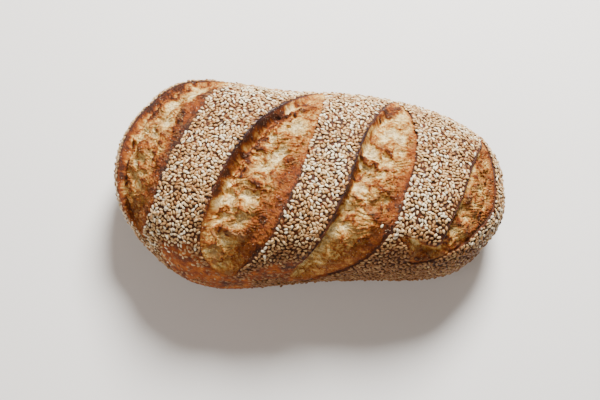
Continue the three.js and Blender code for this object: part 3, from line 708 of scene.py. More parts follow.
    def toast(self, height, rows, columns):
        """How brown the crumb is: what stands out is toasted, and hollows stay pale. Some of it is painted
        shade: in browned hollows, and between the strands at the front end.
        """
        s, share, start, stain, slash = self.s, self.share, self.start, self.stain, self.slash
        broad, middling, small = (
            np.tanh(standing_out(height, rows, columns, half) / full) for half, full in STANDING
        )
        end = smoothstep(s, *END_SPAN)
        pale = 0.335 + slash["baked"] + slash["end_baked"] * end + 0.16 * (self.rough - 0.5)
        pale += (0.11 * broad + 0.09 * middling + 0.05 * small) * (1.0 - 0.8 * self.apron)
        pale += 0.20 * stain + 0.11 * self.grain + 0.46 * self.patch_tone + 0.10 * (self.web - 0.3)
        # At the front end the strands are paler and the crumb between them browner: painted relief shading
        pale -= (0.05 + 0.2 * end) * (self.strands - 0.4)
        pale += (slash["apron_baked"] + 0.32 * stain + 0.2 * small) * self.apron
        pale += 0.14 * smoothstep(share, start - 0.3, start) * smoothstep(s, 0.1, 0.4)
        brown = through_stations(slash["browned"], s) + 0.08 * noise(self.point, 9.0, self.seed + 71)
        brown += 0.12 * (stain + self.grain + self.pits) + 0.07 * small
        brown += 0.15 * np.maximum(self.patch_tone, 0.0) + 0.08 * smoothstep(share, start + 0.1, 1.0)
        brown += 0.12 * smoothstep(self.across, self.width - 3.0, self.width - 0.6)
        toast = blend(np.clip(pale, 0.0, 0.94), brown, self.band)
        toast = np.maximum(toast, (0.62 + 0.1 * small + 0.1 * stain) * smoothstep(self.crest, 0.15, 0.6))
        toast = blend(toast, 0.86 + 0.10 * stain + 0.16 * (self.streaks - 0.4), self.on_face)
        if slash.get("open") != "front":
            toast = blend(0.62, toast, smoothstep(1.0 - s, 0.005, 0.06))
        return toast

    def char(self):
        """How burnt the crumb is along the ear, and a thin dark line along the other border."""
        edge = bell(self.across - 0.1, 0.95) * (0.95 + 0.5 * noise(self.point, 7.0, self.seed + 73))
        face = 0.75 * self.on_face * smoothstep(0.85 - self.s, 0.0, 0.4)
        char = self.slash["burnt"] * self.ear * np.maximum(edge, face) * self.depth
        char *= 1.0 - 0.6 * smoothstep(self.s, 0.5, 0.75)
        rim = 0.2 * bell(self.across - self.width - 0.2, 0.6)
        return np.maximum(char, rim * tip_fade(self.slash, self.s, 0.2))

    def gap(self):
        """How far the strands stand apart, as painted shade in the openings between them, deeper at the
        front end and in calm hollows.
        """
        gap = smoothstep(self.strands + 0.35 * self.fine, 0.5, 0.1)
        gap *= smoothstep(noise(self.point, 2.4, self.seed + 79), -0.25, 0.5)
        gap *= self.crumb * (1.0 - self.apron) * smoothstep(self.across, 3.0, 7.0)
        return gap * (1.0 + 0.6 * smoothstep(self.s, *END_SPAN) + 0.5 * self.calm)

    def glaze(self):
        return np.maximum(self.smooth_band, np.maximum(0.8 * self.on_face, 0.5 * self.apron))


def make_torn_piece(name, slash, settings, material):
    """A long closed sliver of torn crumb that lies in its slash, its two tips at the slash's tips."""
    around_steps, along_steps = slash["steps"]
    bm = bmesh.new()
    bmesh.ops.create_uvsphere(bm, u_segments=around_steps, v_segments=along_steps, radius=1.0)
    ball_places = vertex_places(bm)
    mesh = mesh_of(bm, name)
    s = np.arccos(np.clip(ball_places[:, 2], -1.0, 1.0)) / math.pi
    around = np.arctan2(ball_places[:, 1], ball_places[:, 0]) / (2.0 * math.pi) % 1.0
    around = np.round(around * around_steps) / around_steps % 1.0
    top = around <= TOP_SHARE
    p = np.where(top, around / TOP_SHARE, (1.0 - around) / (1.0 - TOP_SHARE))
    back, chord, _, left = chord_of(slash)
    left_edge = cap(s) * through_stations(slash["left"], s)
    width = left_edge - cap(s) * through_stations(slash["right"], s)
    margin = MARGIN * np.minimum(1.0, width / 8.0)
    across = blend(-margin, width + margin, np.where(top, p ** CROWDING, p))
    flat = back + chord * s[:, None] + left * (left_edge - across)[:, None]
    ways = direction_at(flat)
    rows = np.round(s * along_steps).astype(int)
    columns = np.round(around * around_steps).astype(int)
    tear = Tear(slash, crust_point(ways), s, across, width)
    height = tear.height(settings.crag_relief)
    toast = tear.toast(height, rows, columns)
    marks = {"toast": toast, "char": tear.char(), "glaze": tear.glaze(), "gap": tear.gap()}
    belly = np.sqrt(np.sin(math.pi * np.clip(p, 0.0, 1.0))) * np.minimum(1.0, width / FULL_WIDTH)
    places, _ = skin_point(ways, np.where(top, height, -BORDER_DEPTH - UNDERSIDE * belly))
    finished_piece(name, mesh, places, material, marks)
    point_outwards(mesh)


# Sesame

SEED_AROUND = 8
SEED_RINGS = 4
SEED_TRIES = 200000  # places for a seed, most of which find no room
REACH = 3.6  # seeds further apart than this never touch
FRONT_ROOM = 0.06  # seeds at the front lie this share further apart
FIRST_TO_LAST_ROOM = (1.25, 0.85)  # the later a seed is tried, the less room it asks for
ROOM_SPAN = (0.92, 1.12)  # but never less or more than this
UPPER_ROOM = 1.05  # the same for seeds that lie on others
MOST_BARE = 0.3  # barer crust has no seeds that lie on others
SWIRL_SIZE = 9.0  # seeds lie much the same way over this distance
SWIRL_TURN = 1.6 * math.pi
SWIRL_DRAW = 0.7
TILT_DRAW = 0.1
LOOSE_TILT = 0.08  # more for a seed that lies on others or between them
SIZE_DRAW = 0.07
SIZE_SPAN = (0.8, 1.2)
SEED_LIFT = 0.33  # of a seed's middle over the crust
LIFT_DRAW = 0.15
RAISED_LIFT = 0.6  # more for a seed that lies on others
TUCKED_DIP = 0.16  # less for one that slipped in between others
BARE_DIP = 0.56  # less where the crust is bare, because the seeds there are baked in
KINDS = {"ivory": 0.19, "pale": 0.21, "straw": 0.23, "golden": 0.22, "toasted": 0.15}  # shares of all seeds
STRAY_SEEDS = [("c", 44.7, -40.0)]  # on torn crumb: slash, and place on the unrolled crust


def seed_waist(along):
    """Thickness of a seed by how far along it is, from -1 at its blunt end to 1 at its point."""
    return 1.0 - 0.34 * along - 0.06 * along * along


def seed_template(settings):
    """One seed, a flat drop pointed at +X, in millimetres about its middle."""
    bm = bmesh.new()
    bmesh.ops.create_uvsphere(bm, u_segments=SEED_AROUND, v_segments=SEED_RINGS, radius=0.5)
    for v in bm.verts:
        along = v.co.z * 2.0
        waist = seed_waist(along)
        v.co = Vector((
            v.co.z * settings.seed_length,
            v.co.x * settings.seed_width * waist,
            v.co.y * settings.seed_thickness * waist,
        )) / MM
    mesh = mesh_of(bm, "seed")
    point_outwards(mesh)
    return mesh


def copies_of(mesh, count):
    """A mesh with many copies of another, one after the other, all in the same place."""
    row = in_scene("row", mesh)
    array = row.modifiers.new("copies", "ARRAY")
    array.count = count
    array.use_relative_offset = False
    array.use_constant_offset = True
    array.constant_offset_displace = (0.0, 0.0, 0.0)
    depsgraph = bpy.context.evaluated_depsgraph_get()
    joined = bpy.data.meshes.new_from_object(row.evaluated_get(depsgraph))
    bpy.data.objects.remove(row)
    return joined


def even_directions(rng, count):
    """Directions that are spread evenly over the loaf's skin."""
    mesh, ways = ball(6, 0)
    corners = np.zeros(len(mesh.polygons) * 3, np.int32)
    mesh.polygons.foreach_get("vertices", corners)
    bpy.data.meshes.remove(mesh)
    corners = corners.reshape(-1, 3)
    places = crust_point(ways)[corners]
    area = np.linalg.norm(np.cross(places[:, 1] - places[:, 0], places[:, 2] - places[:, 0]), axis=1)
    chosen = rng.choice(len(corners), size=count, p=area / area.sum())
    a, b = rng.random((2, count))
    fold = a + b > 1.0
    a, b = np.where(fold, 1.0 - a, a), np.where(fold, 1.0 - b, b)
    first, second, third = (ways[corners[chosen, corner]] for corner in range(3))
    return unit(first + (second - first) * a[:, None] + (third - first) * b[:, None])


def seeded_share(way, point, normal):
    """How thickly the crust is seeded, from 0 to 1, and how near the seeds lie to an ear."""
    flat = unrolled(way)
    share = 1.0 - 0.95 * bareness(flat)
    share *= smoothstep(point[:, 2], 5.0, 17.0) * smoothstep(normal[:, 2], -0.75, -0.35)
    edge = 0.5 * noise(point, 3.5, 81) + 0.4 * noise(point, 9.0, 82)
    beside_ear = np.zeros(len(way))
    for slash in SLASHES.values():
        s, across, width = place_in(slash, flat)
        clear = (across < edge - slash["clear"]) | (across > width + 0.4 + edge) | (s < 0.0) | (s > 1.0)
        share *= clear
        beside_ear = np.maximum(beside_ear, bell(across, 3.0) * tip_fade(slash, s, RUN_OUT))
    return share, beside_ear


def packed_closely(points, axes, half_length, half_width, closeness):
    """Picks seeds one by one, each clear of those before it, as flat ovals."""
    cells = {}
    kept = []
    grid = np.floor(points / REACH).astype(int).tolist()
    seeds = zip(points.tolist(), axes.tolist(), grid, closeness)
    steps = [(i, j, k) for i in (-1, 0, 1) for j in (-1, 0, 1) for k in (-1, 0, 1)]
    long2, short2 = 1.0 / half_length**2, 1.0 / half_width**2
    for index, ((x, y, z), (ax, ay, az), (gx, gy, gz), close) in enumerate(seeds):
        free = True
        for i, j, k in steps:
            for ox, oy, oz, bx, by, bz in cells.get((gx + i, gy + j, gz + k), ()):
                dx, dy, dz = x - ox, y - oy, z - oz
                d2 = dx * dx + dy * dy + dz * dz
                if d2 > REACH * REACH:
                    continue
                ca = (dx * ax + dy * ay + dz * az) ** 2 / (d2 + TINY)
                cb = (dx * bx + dy * by + dz * bz) ** 2 / (d2 + TINY)
                need = (ca * long2 + (1 - ca) * short2) ** -0.5 + (cb * long2 + (1 - cb) * short2) ** -0.5
                if d2 < (close * need) ** 2:
                    free = False
                    break
            if not free:
                break
        if free:
            kept.append(index)
            cells.setdefault((gx, gy, gz), []).append((x, y, z, ax, ay, az))
    return np.array(kept)


def turned(vectors, axis, angle):
    """Vectors turned about unit axes, row by row."""
    c, s = np.cos(angle)[:, None], np.sin(angle)[:, None]
    along = np.sum(vectors * axis, axis=1, keepdims=True)
    return vectors * c + np.cross(axis, vectors) * s + axis * along * (1.0 - c)


def on_torn_crumb():
    """Middles and outward directions of the seeds that came to lie in the slashes."""
    ways = direction_at(np.array([(u, v) for _, u, v in STRAY_SEEDS]))
    smooth = crust_point(ways)
    lift = np.zeros(len(ways))
    for index, (name, *_) in enumerate(STRAY_SEEDS):
        s, across, width = place_in(SLASHES[name], unrolled(ways[index:index + 1]))
        floor, _ = torn_floor(SLASHES[name], s, across, width)
        lift[index] = (floor + crags(SLASHES[name], smooth[index:index + 1], across, width)).item()
    return skin_point(ways, lift)


def candidates(rng):
    """Where a seed could lie on the crust, in the order in which the places are tried."""
    ways = even_directions(rng, SEED_TRIES)
    points, normals = skin_point(ways, highest_ear(ways))
    share, beside_ear = seeded_share(ways, points, normals)
    keep = share > rng.random(len(share))
    ways, points, normals, beside_ear = ways[keep], points[keep], normals[keep], beside_ear[keep]
    start = unit(np.cross(normals, [0.3, 0.2, 1.0]))
    swirl = SWIRL_TURN * noise(points, SWIRL_SIZE, 84) + rng.normal(0.0, SWIRL_DRAW, len(points))
    axes = turned(start, normals, swirl + math.pi * rng.integers(0, 2, len(points)))
    return ways, points, normals, axes, beside_ear


def with_room(settings, ways, points, normals, axes):
    """The candidates that find room: those on the crust, and the few that lie on other seeds."""
    half_sizes = (settings.seed_length / MM / 2.0, settings.seed_width / MM / 2.0)
    closeness = settings.closeness * (1.0 + FRONT_ROOM * smoothstep(-normals[:, 1], -0.1, 0.5))
    closeness *= np.linspace(*FIRST_TO_LAST_ROOM, len(points)).clip(*ROOM_SPAN)
    lower = packed_closely(points, axes, *half_sizes, closeness.tolist())
    left_over = np.setdiff1d(np.arange(len(points)), lower)[: settings.upper_tries]
    room = [UPPER_ROOM] * len(left_over)
    upper = left_over[packed_closely(points[left_over], axes[left_over], *half_sizes, room)]
    return lower, upper[bareness(unrolled(ways[upper])) < MOST_BARE]


def scattered(settings):
    """Where every seed lies: its middle, its three axes with their sizes, and its browning."""
    rng = np.random.default_rng(settings.draw)
    ways, points, normals, axes, beside_ear = candidates(rng)
    lower, upper = with_room(settings, ways, points, normals, axes)
    chosen = np.concatenate([lower, upper])
    on_top = len(upper) + len(STRAY_SEEDS)
    raised = np.concatenate([np.zeros(len(lower)), np.ones(on_top)])
    tucked = np.concatenate([smoothstep(lower / len(points), 0.3, 0.8), np.zeros(on_top)])
    stray_points, stray_normals = on_torn_crumb()
    stray_axes = unit(np.cross(stray_normals, [0.8, -0.6, 0.1]))

    points, normals = np.vstack([points[chosen], stray_points]), np.vstack([normals[chosen], stray_normals])
    axes = np.vstack([axes[chosen], stray_axes])
    beside_ear = np.concatenate([beside_ear[chosen], -np.ones(len(stray_points))])
    bare = np.concatenate([bareness(unrolled(ways[chosen])), np.zeros(len(stray_points))])
    count = len(points)
    side = np.cross(normals, axes)
    tilt = rng.normal(0.0, 1.0, (2, count)) * (TILT_DRAW + LOOSE_TILT * np.maximum(raised, tucked))
    axes = turned(axes, side, tilt[0])
    side = turned(side, axes, tilt[1] * 1.3)
    up = np.cross(axes, side)
    lift = SEED_LIFT + RAISED_LIFT * raised - TUCKED_DIP * tucked
    lift = lift + LIFT_DRAW * rng.random(count) - BARE_DIP * bare
    size = rng.normal(1.0, SIZE_DRAW, (3, count)).clip(*SIZE_SPAN)
    # Seeds on the front side are browner: partly toasting, partly painted shade for the side turned away
    # from the key light
    front_browning_and_shade = smoothstep(-normals[:, 1], 0.55, 0.95)
    browning = rng.random(count) * 0.7 + 0.3 * (0.5 + 0.5 * noise(points, 18.0, 83))
    browning += 0.35 * beside_ear + 0.6 * front_browning_and_shade
    return {
        "middle": points + normals * lift[:, None], "along": axes * size[0][:, None],
        "side": side * size[1][:, None], "up": up * size[2][:, None],
        "browning": browning, "draw": rng.random(count),
    }


def make_seeds(settings, materials):
    template = seed_template(settings)
    shape = np.zeros(len(template.vertices) * 3)
    template.vertices.foreach_get("co", shape)
    shape = shape.reshape(-1, 3)
    seeds = scattered(settings)
    order = np.argsort(seeds["browning"] + 0.5 * seeds["draw"], kind="stable")
    bounds = np.cumsum([0.0] + list(KINDS.values())) * len(order)
    for kind, low, high in zip(KINDS, bounds[:-1], bounds[1:]):
        mine = np.sort(order[int(round(low)):int(round(high))])
        mesh = copies_of(template, len(mine))
        places = seeds["middle"][mine][:, None, :]
        for column, axis in enumerate(("along", "side", "up")):
            places = places + shape[None, :, column, None] * seeds[axis][mine][:, None, :]
        along = shape[:, 0] * 2.0 / (settings.seed_length / MM)
        half = np.sqrt((1.0 - along * along).clip(NARROWEST)) * seed_waist(along)
        half *= settings.seed_thickness / MM / 2.0
        marks = {
            "tint": np.repeat(seeds["draw"][mine], len(shape)),
            "tip": np.tile(0.5 + shape[:, 0] / (settings.seed_length / MM), len(mine)),
            # rim: painted shade on each seed's sides and underside, with a little browning of its edge
            "rim": np.tile(1.0 - smoothstep(shape[:, 2] / half, 0.2, 1.06), len(mine)),
        }
        finished_piece(f"sesame_{kind}", mesh, places.reshape(-1, 3), materials[kind], marks)


# Materials

FLOAT, COLOUR, VECTOR = "NodeSocketFloat", "NodeSocketColor", "NodeSocketVector"
NODE_STEP = 170.0
CRUST_PORE = (0.09, 0.03, 0.012, 1.0)
CRUST_FLOUR = (0.72, 0.55, 0.35, 1.0)
CRUMB_PORE = (0.16, 0.055, 0.018, 1.0)
CRUMB_FLOUR_AND_GLINT = (0.85, 0.68, 0.45, 1.0)
# colour of the painted shade in the crumb's openings and holes
CRUMB_OPENING_SHADE = (0.30, 0.15, 0.05, 1.0)
STRAND_TURN = (0.0, 0.0, -0.6)
STRAND_STRETCH = (2.0, 0.62, 1.0)


def feed(tree, socket, value):
    """Joins a node's input to an output, or sets its value."""
    if isinstance(value, bpy.types.NodeSocket):
        tree.links.new(value, socket)
    else:
        socket.default_value = value


def add_node(tree, kind, inputs=None, **settings):
    """A new node. Inputs are outputs to join or values to set, by name or number."""
    node = tree.nodes.new(kind)
    node.location = (len(tree.nodes) * NODE_STEP, 0.0)
    for name, value in settings.items():
        setattr(node, name, value)
    for name, value in (inputs or {}).items():
        feed(tree, node.inputs[name], value)
    return node


def maths(tree, operation, first, second, clamp=False):
    node = add_node(tree, "ShaderNodeMath", {0: first, 1: second}, operation=operation, use_clamp=clamp)
    return node.outputs[0]


def plus(tree, first, second, clamp=False):
    return maths(tree, "ADD", first, second, clamp)


def minus(tree, first, second, clamp=False):
    return maths(tree, "SUBTRACT", first, second, clamp)


def times(tree, first, second, clamp=False):
    return maths(tree, "MULTIPLY", first, second, clamp)


def mixed(tree, share, first, second, blend_type="MIX"):
    inputs = {0: share, 6: first, 7: second}
    return add_node(tree, "ShaderNodeMix", inputs, data_type="RGBA", blend_type=blend_type).outputs[2]


def ramp(tree, value, stops):
    """Goes through stops, each a place and a colour or a grey."""
    node = add_node(tree, "ShaderNodeValToRGB", {0: value})
    elements = node.color_ramp.elements
    while len(elements) < len(stops):
        elements.new(0.5)
    for element, (place, colour) in zip(elements, stops):
        element.position = place
        element.color = (colour, colour, colour, 1.0) if isinstance(colour, float) else (*colour[:3], 1.0)
    return node.outputs[0]


def cloudy(tree, where, scale, detail, roughness=0.5, distortion=0.0):
    return add_node(tree, "ShaderNodeTexNoise", {
        "Vector": where, "Scale": scale, "Detail": detail, "Roughness": roughness, "Distortion": distortion,
    }).outputs[0]


def mark(tree, name):
    """A value that the mesh holds for each vertex."""
    return add_node(tree, "ShaderNodeAttribute", attribute_name=name).outputs["Fac"]


def new_group(name, inputs, outputs):
    """An empty shader group with named sockets, and the nodes that hold them."""
    group = bpy.data.node_groups.new(name, "ShaderNodeTree")
    for socket, (kind, default) in inputs.items():
        made = group.interface.new_socket(name=socket, in_out="INPUT", socket_type=kind)
        if default is not None:
            made.default_value = default
    for socket, kind in outputs.items():
        group.interface.new_socket(name=socket, in_out="OUTPUT", socket_type=kind)
    return group, group.nodes.new("NodeGroupInput").outputs, group.nodes.new("NodeGroupOutput").inputs


def baking_group(colours):
    """Dough colours from pale through golden to brown, by how long they baked, and burnt ones."""
    group, given, out = new_group(
        "baking", {"Toast": (FLOAT, 0.5), "Char": (FLOAT, 0.0)}, {"Colour": COLOUR, "Roughness": FLOAT}
    )
    baked = ramp(group, given["Toast"], [
        (0.0, colours.pale), (0.22, colours.cream), (0.42, colours.golden), (0.60, colours.amber),
        (0.78, colours.brown), (1.0, colours.dark),
    ])
    feed(group, out["Colour"], mixed(group, given["Char"], baked, (*colours.burnt, 1.0)))
    rough = ramp(group, given["Toast"], [(0.0, 0.92), (0.5, 0.85), (1.0, 0.7)])
    smoother = minus(group, 1.0, times(group, given["Char"], 0.4))
    feed(group, out["Roughness"], times(group, rough, smoother))
    return group


def mottle_group():
    """Uneven browning: adds broad and fine patches to a value."""
    group, given, out = new_group(
        "mottle",
        {"Vector": (VECTOR, None), "Value": (FLOAT, 0.5), "Scale": (FLOAT, 300.0), "Amount": (FLOAT, 0.2)},
        {"Value": FLOAT, "Fine": FLOAT},
    )
    broad = cloudy(group, given["Vector"], given["Scale"], 4.0, 0.6)
    fine = cloudy(group, given["Vector"], times(group, given["Scale"], 4.3), 3.0, 0.65)
    centred = minus(group, plus(group, broad, fine), 1.0)
    spread = times(group, centred, given["Amount"])
    feed(group, out["Value"], plus(group, given["Value"], spread, clamp=True))
    feed(group, out["Fine"], fine)
    return group


def pores_group():
    """Small round marks spread over a surface: pores, blisters or flour grains."""
    group, given, out = new_group(
        "pores",
        {"Vector": (VECTOR, None), "Scale": (FLOAT, 500.0), "Size": (FLOAT, 0.25), "Chance": (FLOAT, 0.5)},
        {"Mask": FLOAT},
    )
    placed = {"Vector": given["Vector"], "Scale": given["Scale"]}
    cell = add_node(group, "ShaderNodeTexVoronoi", placed).outputs
    soft = maths(group, "DIVIDE", minus(group, given["Size"], cell["Distance"]), given["Size"], clamp=True)
    split = add_node(group, "ShaderNodeSeparateColor", {0: cell["Color"]})
    picked = maths(group, "LESS_THAN", split.outputs[0], given["Chance"])
    feed(group, out["Mask"], times(group, soft, picked))
    return group


def shared_groups(colours):
    """The shader groups of the crust and the torn crumb, made when the first of them is."""
    made = bpy.data.node_groups
    return {
        "baking": made.get("baking") or baking_group(colours),
        "mottle": made.get("mottle") or mottle_group(),
        "pores": made.get("pores") or pores_group(),
    }


def use_group(tree, group, inputs):
    return add_node(tree, "ShaderNodeGroup", inputs, node_tree=group).outputs


def spots(tree, groups, where, scale, size, chance):
    inputs = {"Vector": where, "Scale": scale, "Size": size, "Chance": chance}
    return use_group(tree, groups["pores"], inputs)["Mask"]


def mottled(tree, groups, where, scale, amount):
    inputs = {"Vector": where, "Value": mark(tree, "toast"), "Scale": scale, "Amount": amount}
    return use_group(tree, groups["mottle"], inputs)


def new_material(name):
    """A material with its node tree, its shader's inputs and the place on the surface."""
    material = bpy.data.materials.new(name)
    material.use_nodes = True
    tree = material.node_tree
    tree.nodes.clear()
    shader = add_node(tree, "ShaderNodeBsdfPrincipled", {"Specular IOR Level": 0.2})
    add_node(tree, "ShaderNodeOutputMaterial", {0: shader.outputs[0]})
    where = add_node(tree, "ShaderNodeTexCoord").outputs["Object"]
    return material, tree, shader.inputs, where


def bump(tree, shader, height, strength, distance):
    node = add_node(tree, "ShaderNodeBump", {"Height": height, "Strength": strength, "Distance": distance})
    feed(tree, shader["Normal"], node.outputs[0])


def crust_material(groups):
    """Baked crust: mottled brown with freckles, fine pores, grains of flour and a floury sole."""
    material, tree, shader, where = new_material("baked_crust")
    sole, char = mark(tree, "sole"), mark(tree, "char")
    toast = mottled(tree, groups, where, 300.0, 0.5)
    darker = plus(tree, toast["Value"], times(tree, sole, 0.12), clamp=True)
    baked = use_group(tree, groups["baking"], {"Toast": darker, "Char": char})
    pores = spots(tree, groups, where, 420.0, 0.2, 0.35)
    flour = spots(tree, groups, where, 900.0, 0.3, 0.22)
    dotted = mixed(tree, times(tree, pores, 0.6), baked["Colour"], CRUST_PORE)
    grains = times(tree, flour, times(tree, plus(tree, sole, mark(tree, "bare")), 0.4))
    film = ramp(tree, cloudy(tree, where, 42.0, 8.0, 0.72), [(0.44, 0.0), (0.72, 0.34)])
    dusty = maths(tree, "MAXIMUM", grains, times(tree, film, sole))
    feed(tree, shader["Base Color"], mixed(tree, dusty, dotted, CRUST_FLOUR))
    feed(tree, shader["Roughness"], baked["Roughness"])
    shader["Coat Roughness"].default_value = 0.38
    feed(tree, shader["Coat Weight"], times(tree, char, 0.5))
    bump(tree, shader, plus(tree, toast["Fine"], times(tree, pores, -0.8)), 0.55, 0.0005)
    return material


def crumb_material(groups):
    """Torn crumb: pale open hollows, toasted flakes and crests, and the smooth brown band."""
    material, tree, shader, where = new_material("torn_crumb")
    glaze = mark(tree, "glaze")
    toast = mottled(tree, groups, where, 330.0, 0.36)
    baked = use_group(tree, groups["baking"], {"Toast": toast["Value"], "Char": mark(tree, "char")})
    pores = spots(tree, groups, where, 560.0, 0.26, 0.3)
    # Pale specks: partly flour grains, partly painted glints
    flour = spots(tree, groups, where, 760.0, 0.34, 0.24)
    dotted = mixed(tree, times(tree, pores, 0.55), baked["Colour"], CRUMB_PORE)
    floured_and_glinting = mixed(tree, times(tree, flour, 0.7), dotted, CRUMB_FLOUR_AND_GLINT)
    grain = ramp(tree, toast["Fine"], [(0.36, 0.55), (0.54, 1.0)])
    stretched = {"Vector": where, "Rotation": STRAND_TURN, "Scale": STRAND_STRETCH}
    strand_place = add_node(tree, "ShaderNodeMapping", stretched, vector_type="TEXTURE").outputs[0]
    strands = cloudy(tree, strand_place, 900.0, 4.0, 0.7, 1.2)
    # Darker troughs between the strands: partly painted shade in them
    strand_shade = ramp(tree, strands, [(0.38, 0.68), (0.54, 1.0)])
    threaded = minus(tree, 1.0, times(tree, glaze, 0.6))
    speckled = mixed(tree, threaded, mixed(tree, 1.0, floured_and_glinting, grain, "MULTIPLY"), strand_shade, "MULTIPLY")
    # Holes and the openings between strands are painted dark: painted shade inside them
    holes = times(tree, spots(tree, groups, strand_place, 330.0, 0.24, 0.45), 2.0, clamp=True)
    open_hole = times(tree, holes, minus(tree, 0.75, glaze, clamp=True))
    deep = maths(tree, "MAXIMUM", times(tree, mark(tree, "gap"), 0.75), open_hole)
    feed(tree, shader["Base Color"], mixed(tree, deep, speckled, CRUMB_OPENING_SHADE))
    feed(tree, shader["Roughness"], plus(tree, baked["Roughness"], times(tree, glaze, -0.10), clamp=True))
    open_crumb = minus(tree, 1.0, times(tree, glaze, 0.4))
    raised = times(tree, plus(tree, strands, toast["Fine"]), open_crumb)
    sunk = times(tree, plus(tree, pores, open_hole), -0.8)
    bump(tree, shader, plus(tree, raised, sunk), 1.0, 0.0008)
    return material


def seed_material(kind, colour, tip_and_shade_colour):
    """A sesame hull: a little sheen, each seed of its own tone, a browner point, and painted shade on its
    sides and underside.
    """
    material, tree, shader, where = new_material(f"sesame_{kind}")
    shades = [[min(1.0, c * share) for c in colour] for share in (0.66, 0.92, 1.14)]
    shade = ramp(tree, mark(tree, "tint"), list(zip((0.0, 0.5, 1.0), shades)))
    flecks = cloudy(tree, where, 1500.0, 2.0, 0.6)
    at_tip = times(tree, maths(tree, "POWER", mark(tree, "tip"), 4.0), 0.35)
    # The point's colour also darkens each seed's sides and underside as painted shade
    point = maths(tree, "MAXIMUM", at_tip, times(tree, mark(tree, "rim"), 0.8))
    browned = mixed(tree, point, shade, (*tip_and_shade_colour, 1.0))
    spotted = mixed(tree, times(tree, flecks, 0.3), browned, (*[c * 0.72 for c in colour], 1.0))
    feed(tree, shader["Base Color"], spotted)
    rough = add_node(tree, "ShaderNodeMapRange", {"Value": flecks, "To Min": 0.30, "To Max": 0.5})
    feed(tree, shader["Roughness"], rough.outputs[0])
    bump(tree, shader, flecks, 0.25, 0.0003)
    return material


def floor_material(colour):
    material, tree, shader, where = new_material("pale_floor")
    tone = ramp(tree, cloudy(tree, where, 3.0, 2.0), [(0.3, [c * 0.98 for c in colour]), (0.7, colour)])
    feed(tree, shader["Base Color"], tone)
    shader["Roughness"].default_value = 0.8
    return material


# Sizes and colours that a user would change

LENGTH = {"unit": "LENGTH", "precision": 5}
SHARE = {"subtype": "FACTOR"}


def tone(name, description, red, green, blue):
    """A colour property whose default is given as it shows on a screen, from 0 to 255."""
    linear = [((c / 255 + 0.055) / 1.055) ** 2.4 if c > 10 else c / 255 / 12.92 for c in (red, green, blue)]
    return bpy.props.FloatVectorProperty(
        name=name, description=description, subtype="COLOR", size=3, min=0.0, max=1.0, default=linear
    )


def number(name, description, default, low, high, **kind):
    return bpy.props.FloatProperty(
        name=name, description=description, default=default, min=low, max=high, **kind
    )


def whole(name, description, default):
    return bpy.props.IntProperty(name=name, description=description, default=default, min=0, max=20000)


class BreadDough(bpy.types.PropertyGroup):
    """Relief and colours of the crust and the torn crumb"""
    blister_height: number(
        "Blister height", "Relief of the small blisters on the crust", 0.00016, 0.0, 0.001, **LENGTH
    )
    crag_relief: number(
        "Crag relief", "Strength of the webs and flakes in the torn crumb", 1.0, 0.0, 2.0, **SHARE
    )
    pale: tone("Pale", "Crumb that hardly browned", 254, 228, 168)
    cream: tone("Cream", "Open crumb", 232, 191, 112)
    golden: tone("Golden", "Lightly toasted crumb", 195, 137, 66)
    amber: tone("Amber", "Toasted crests", 156, 86, 28)
    brown: tone("Brown", "Smooth baked crust", 123, 56, 13)
    # The crust between the seeds shows this tone, partly as painted shade
    dark: tone("Dark", "Darkest crust", 56, 32, 19)
    burnt: tone("Burnt", "Edges of the ears", 46, 24, 22)


class BreadSesame(bpy.types.PropertyGroup):
    """Size, spread and colours of the sesame seeds"""
    seed_length: number("Length", "Length of a seed", 0.0032, 0.002, 0.005, **LENGTH)
    seed_width: number("Width", "Width of a seed", 0.00188, 0.001, 0.003, **LENGTH)
    seed_thickness: number("Thickness", "Thickness of a seed", 0.00115, 0.0005, 0.002, **LENGTH)
    closeness: number(
        "Closeness", "Room that each seed keeps clear, as a share of its own size", 0.78, 0.5, 1.5, **SHARE
    )
    upper_tries: whole("Upper tries", "Places tried for seeds that lie on other seeds", 1500)
    draw: whole("Draw", "Number that starts the random draws", 417)
    ivory: tone("Ivory", "Palest seeds", 255, 240, 204)
    pale: tone("Pale", "Pale seeds", 228, 196, 146)
    straw: tone("Straw", "Yellowish seeds", 202, 164, 112)
    golden: tone("Golden", "Lightly toasted seeds", 172, 130, 84)
    toasted: tone("Toasted", "Toasted seeds", 138, 95, 56)
    # The point's colour is also the painted shade on each seed's sides and underside
    point: tone("Point", "The pointed tip of a seed", 122, 80, 42)


class BreadStage(bpy.types.PropertyGroup):
    """Floor, light and camera"""
    floor: tone("Floor", "Colour of the floor", 224, 222, 219)
    key_power: number("Key light", "Power of the light above the back", 56.0, 0.0, 500.0, unit="POWER")
    fill_power: number("Fill light", "Power of the light above the front", 9.0, 0.0, 500.0, unit="POWER")
    world_light: number("Surrounding light", "Strength of the even light from all round", 0.12, 0.0, 10.0)
    distance: number("Camera distance", "From the camera to the loaf's middle", 0.575, 0.2, 10.0, **LENGTH)
    elevation: number(
        "Camera elevation", "Angle of the camera above the floor",
        math.radians(72.0), 0.0, math.radians(90.0), subtype="ANGLE",
    )
    azimuth: number(
        "Camera azimuth", "Angle of the camera round the loaf",
        math.radians(-1.2), -math.pi, math.pi, subtype="ANGLE",
    )
    lens: number("Lens", "Focal length in millimetres", 50.0, 10.0, 200.0, subtype="DISTANCE_CAMERA")


# Stage

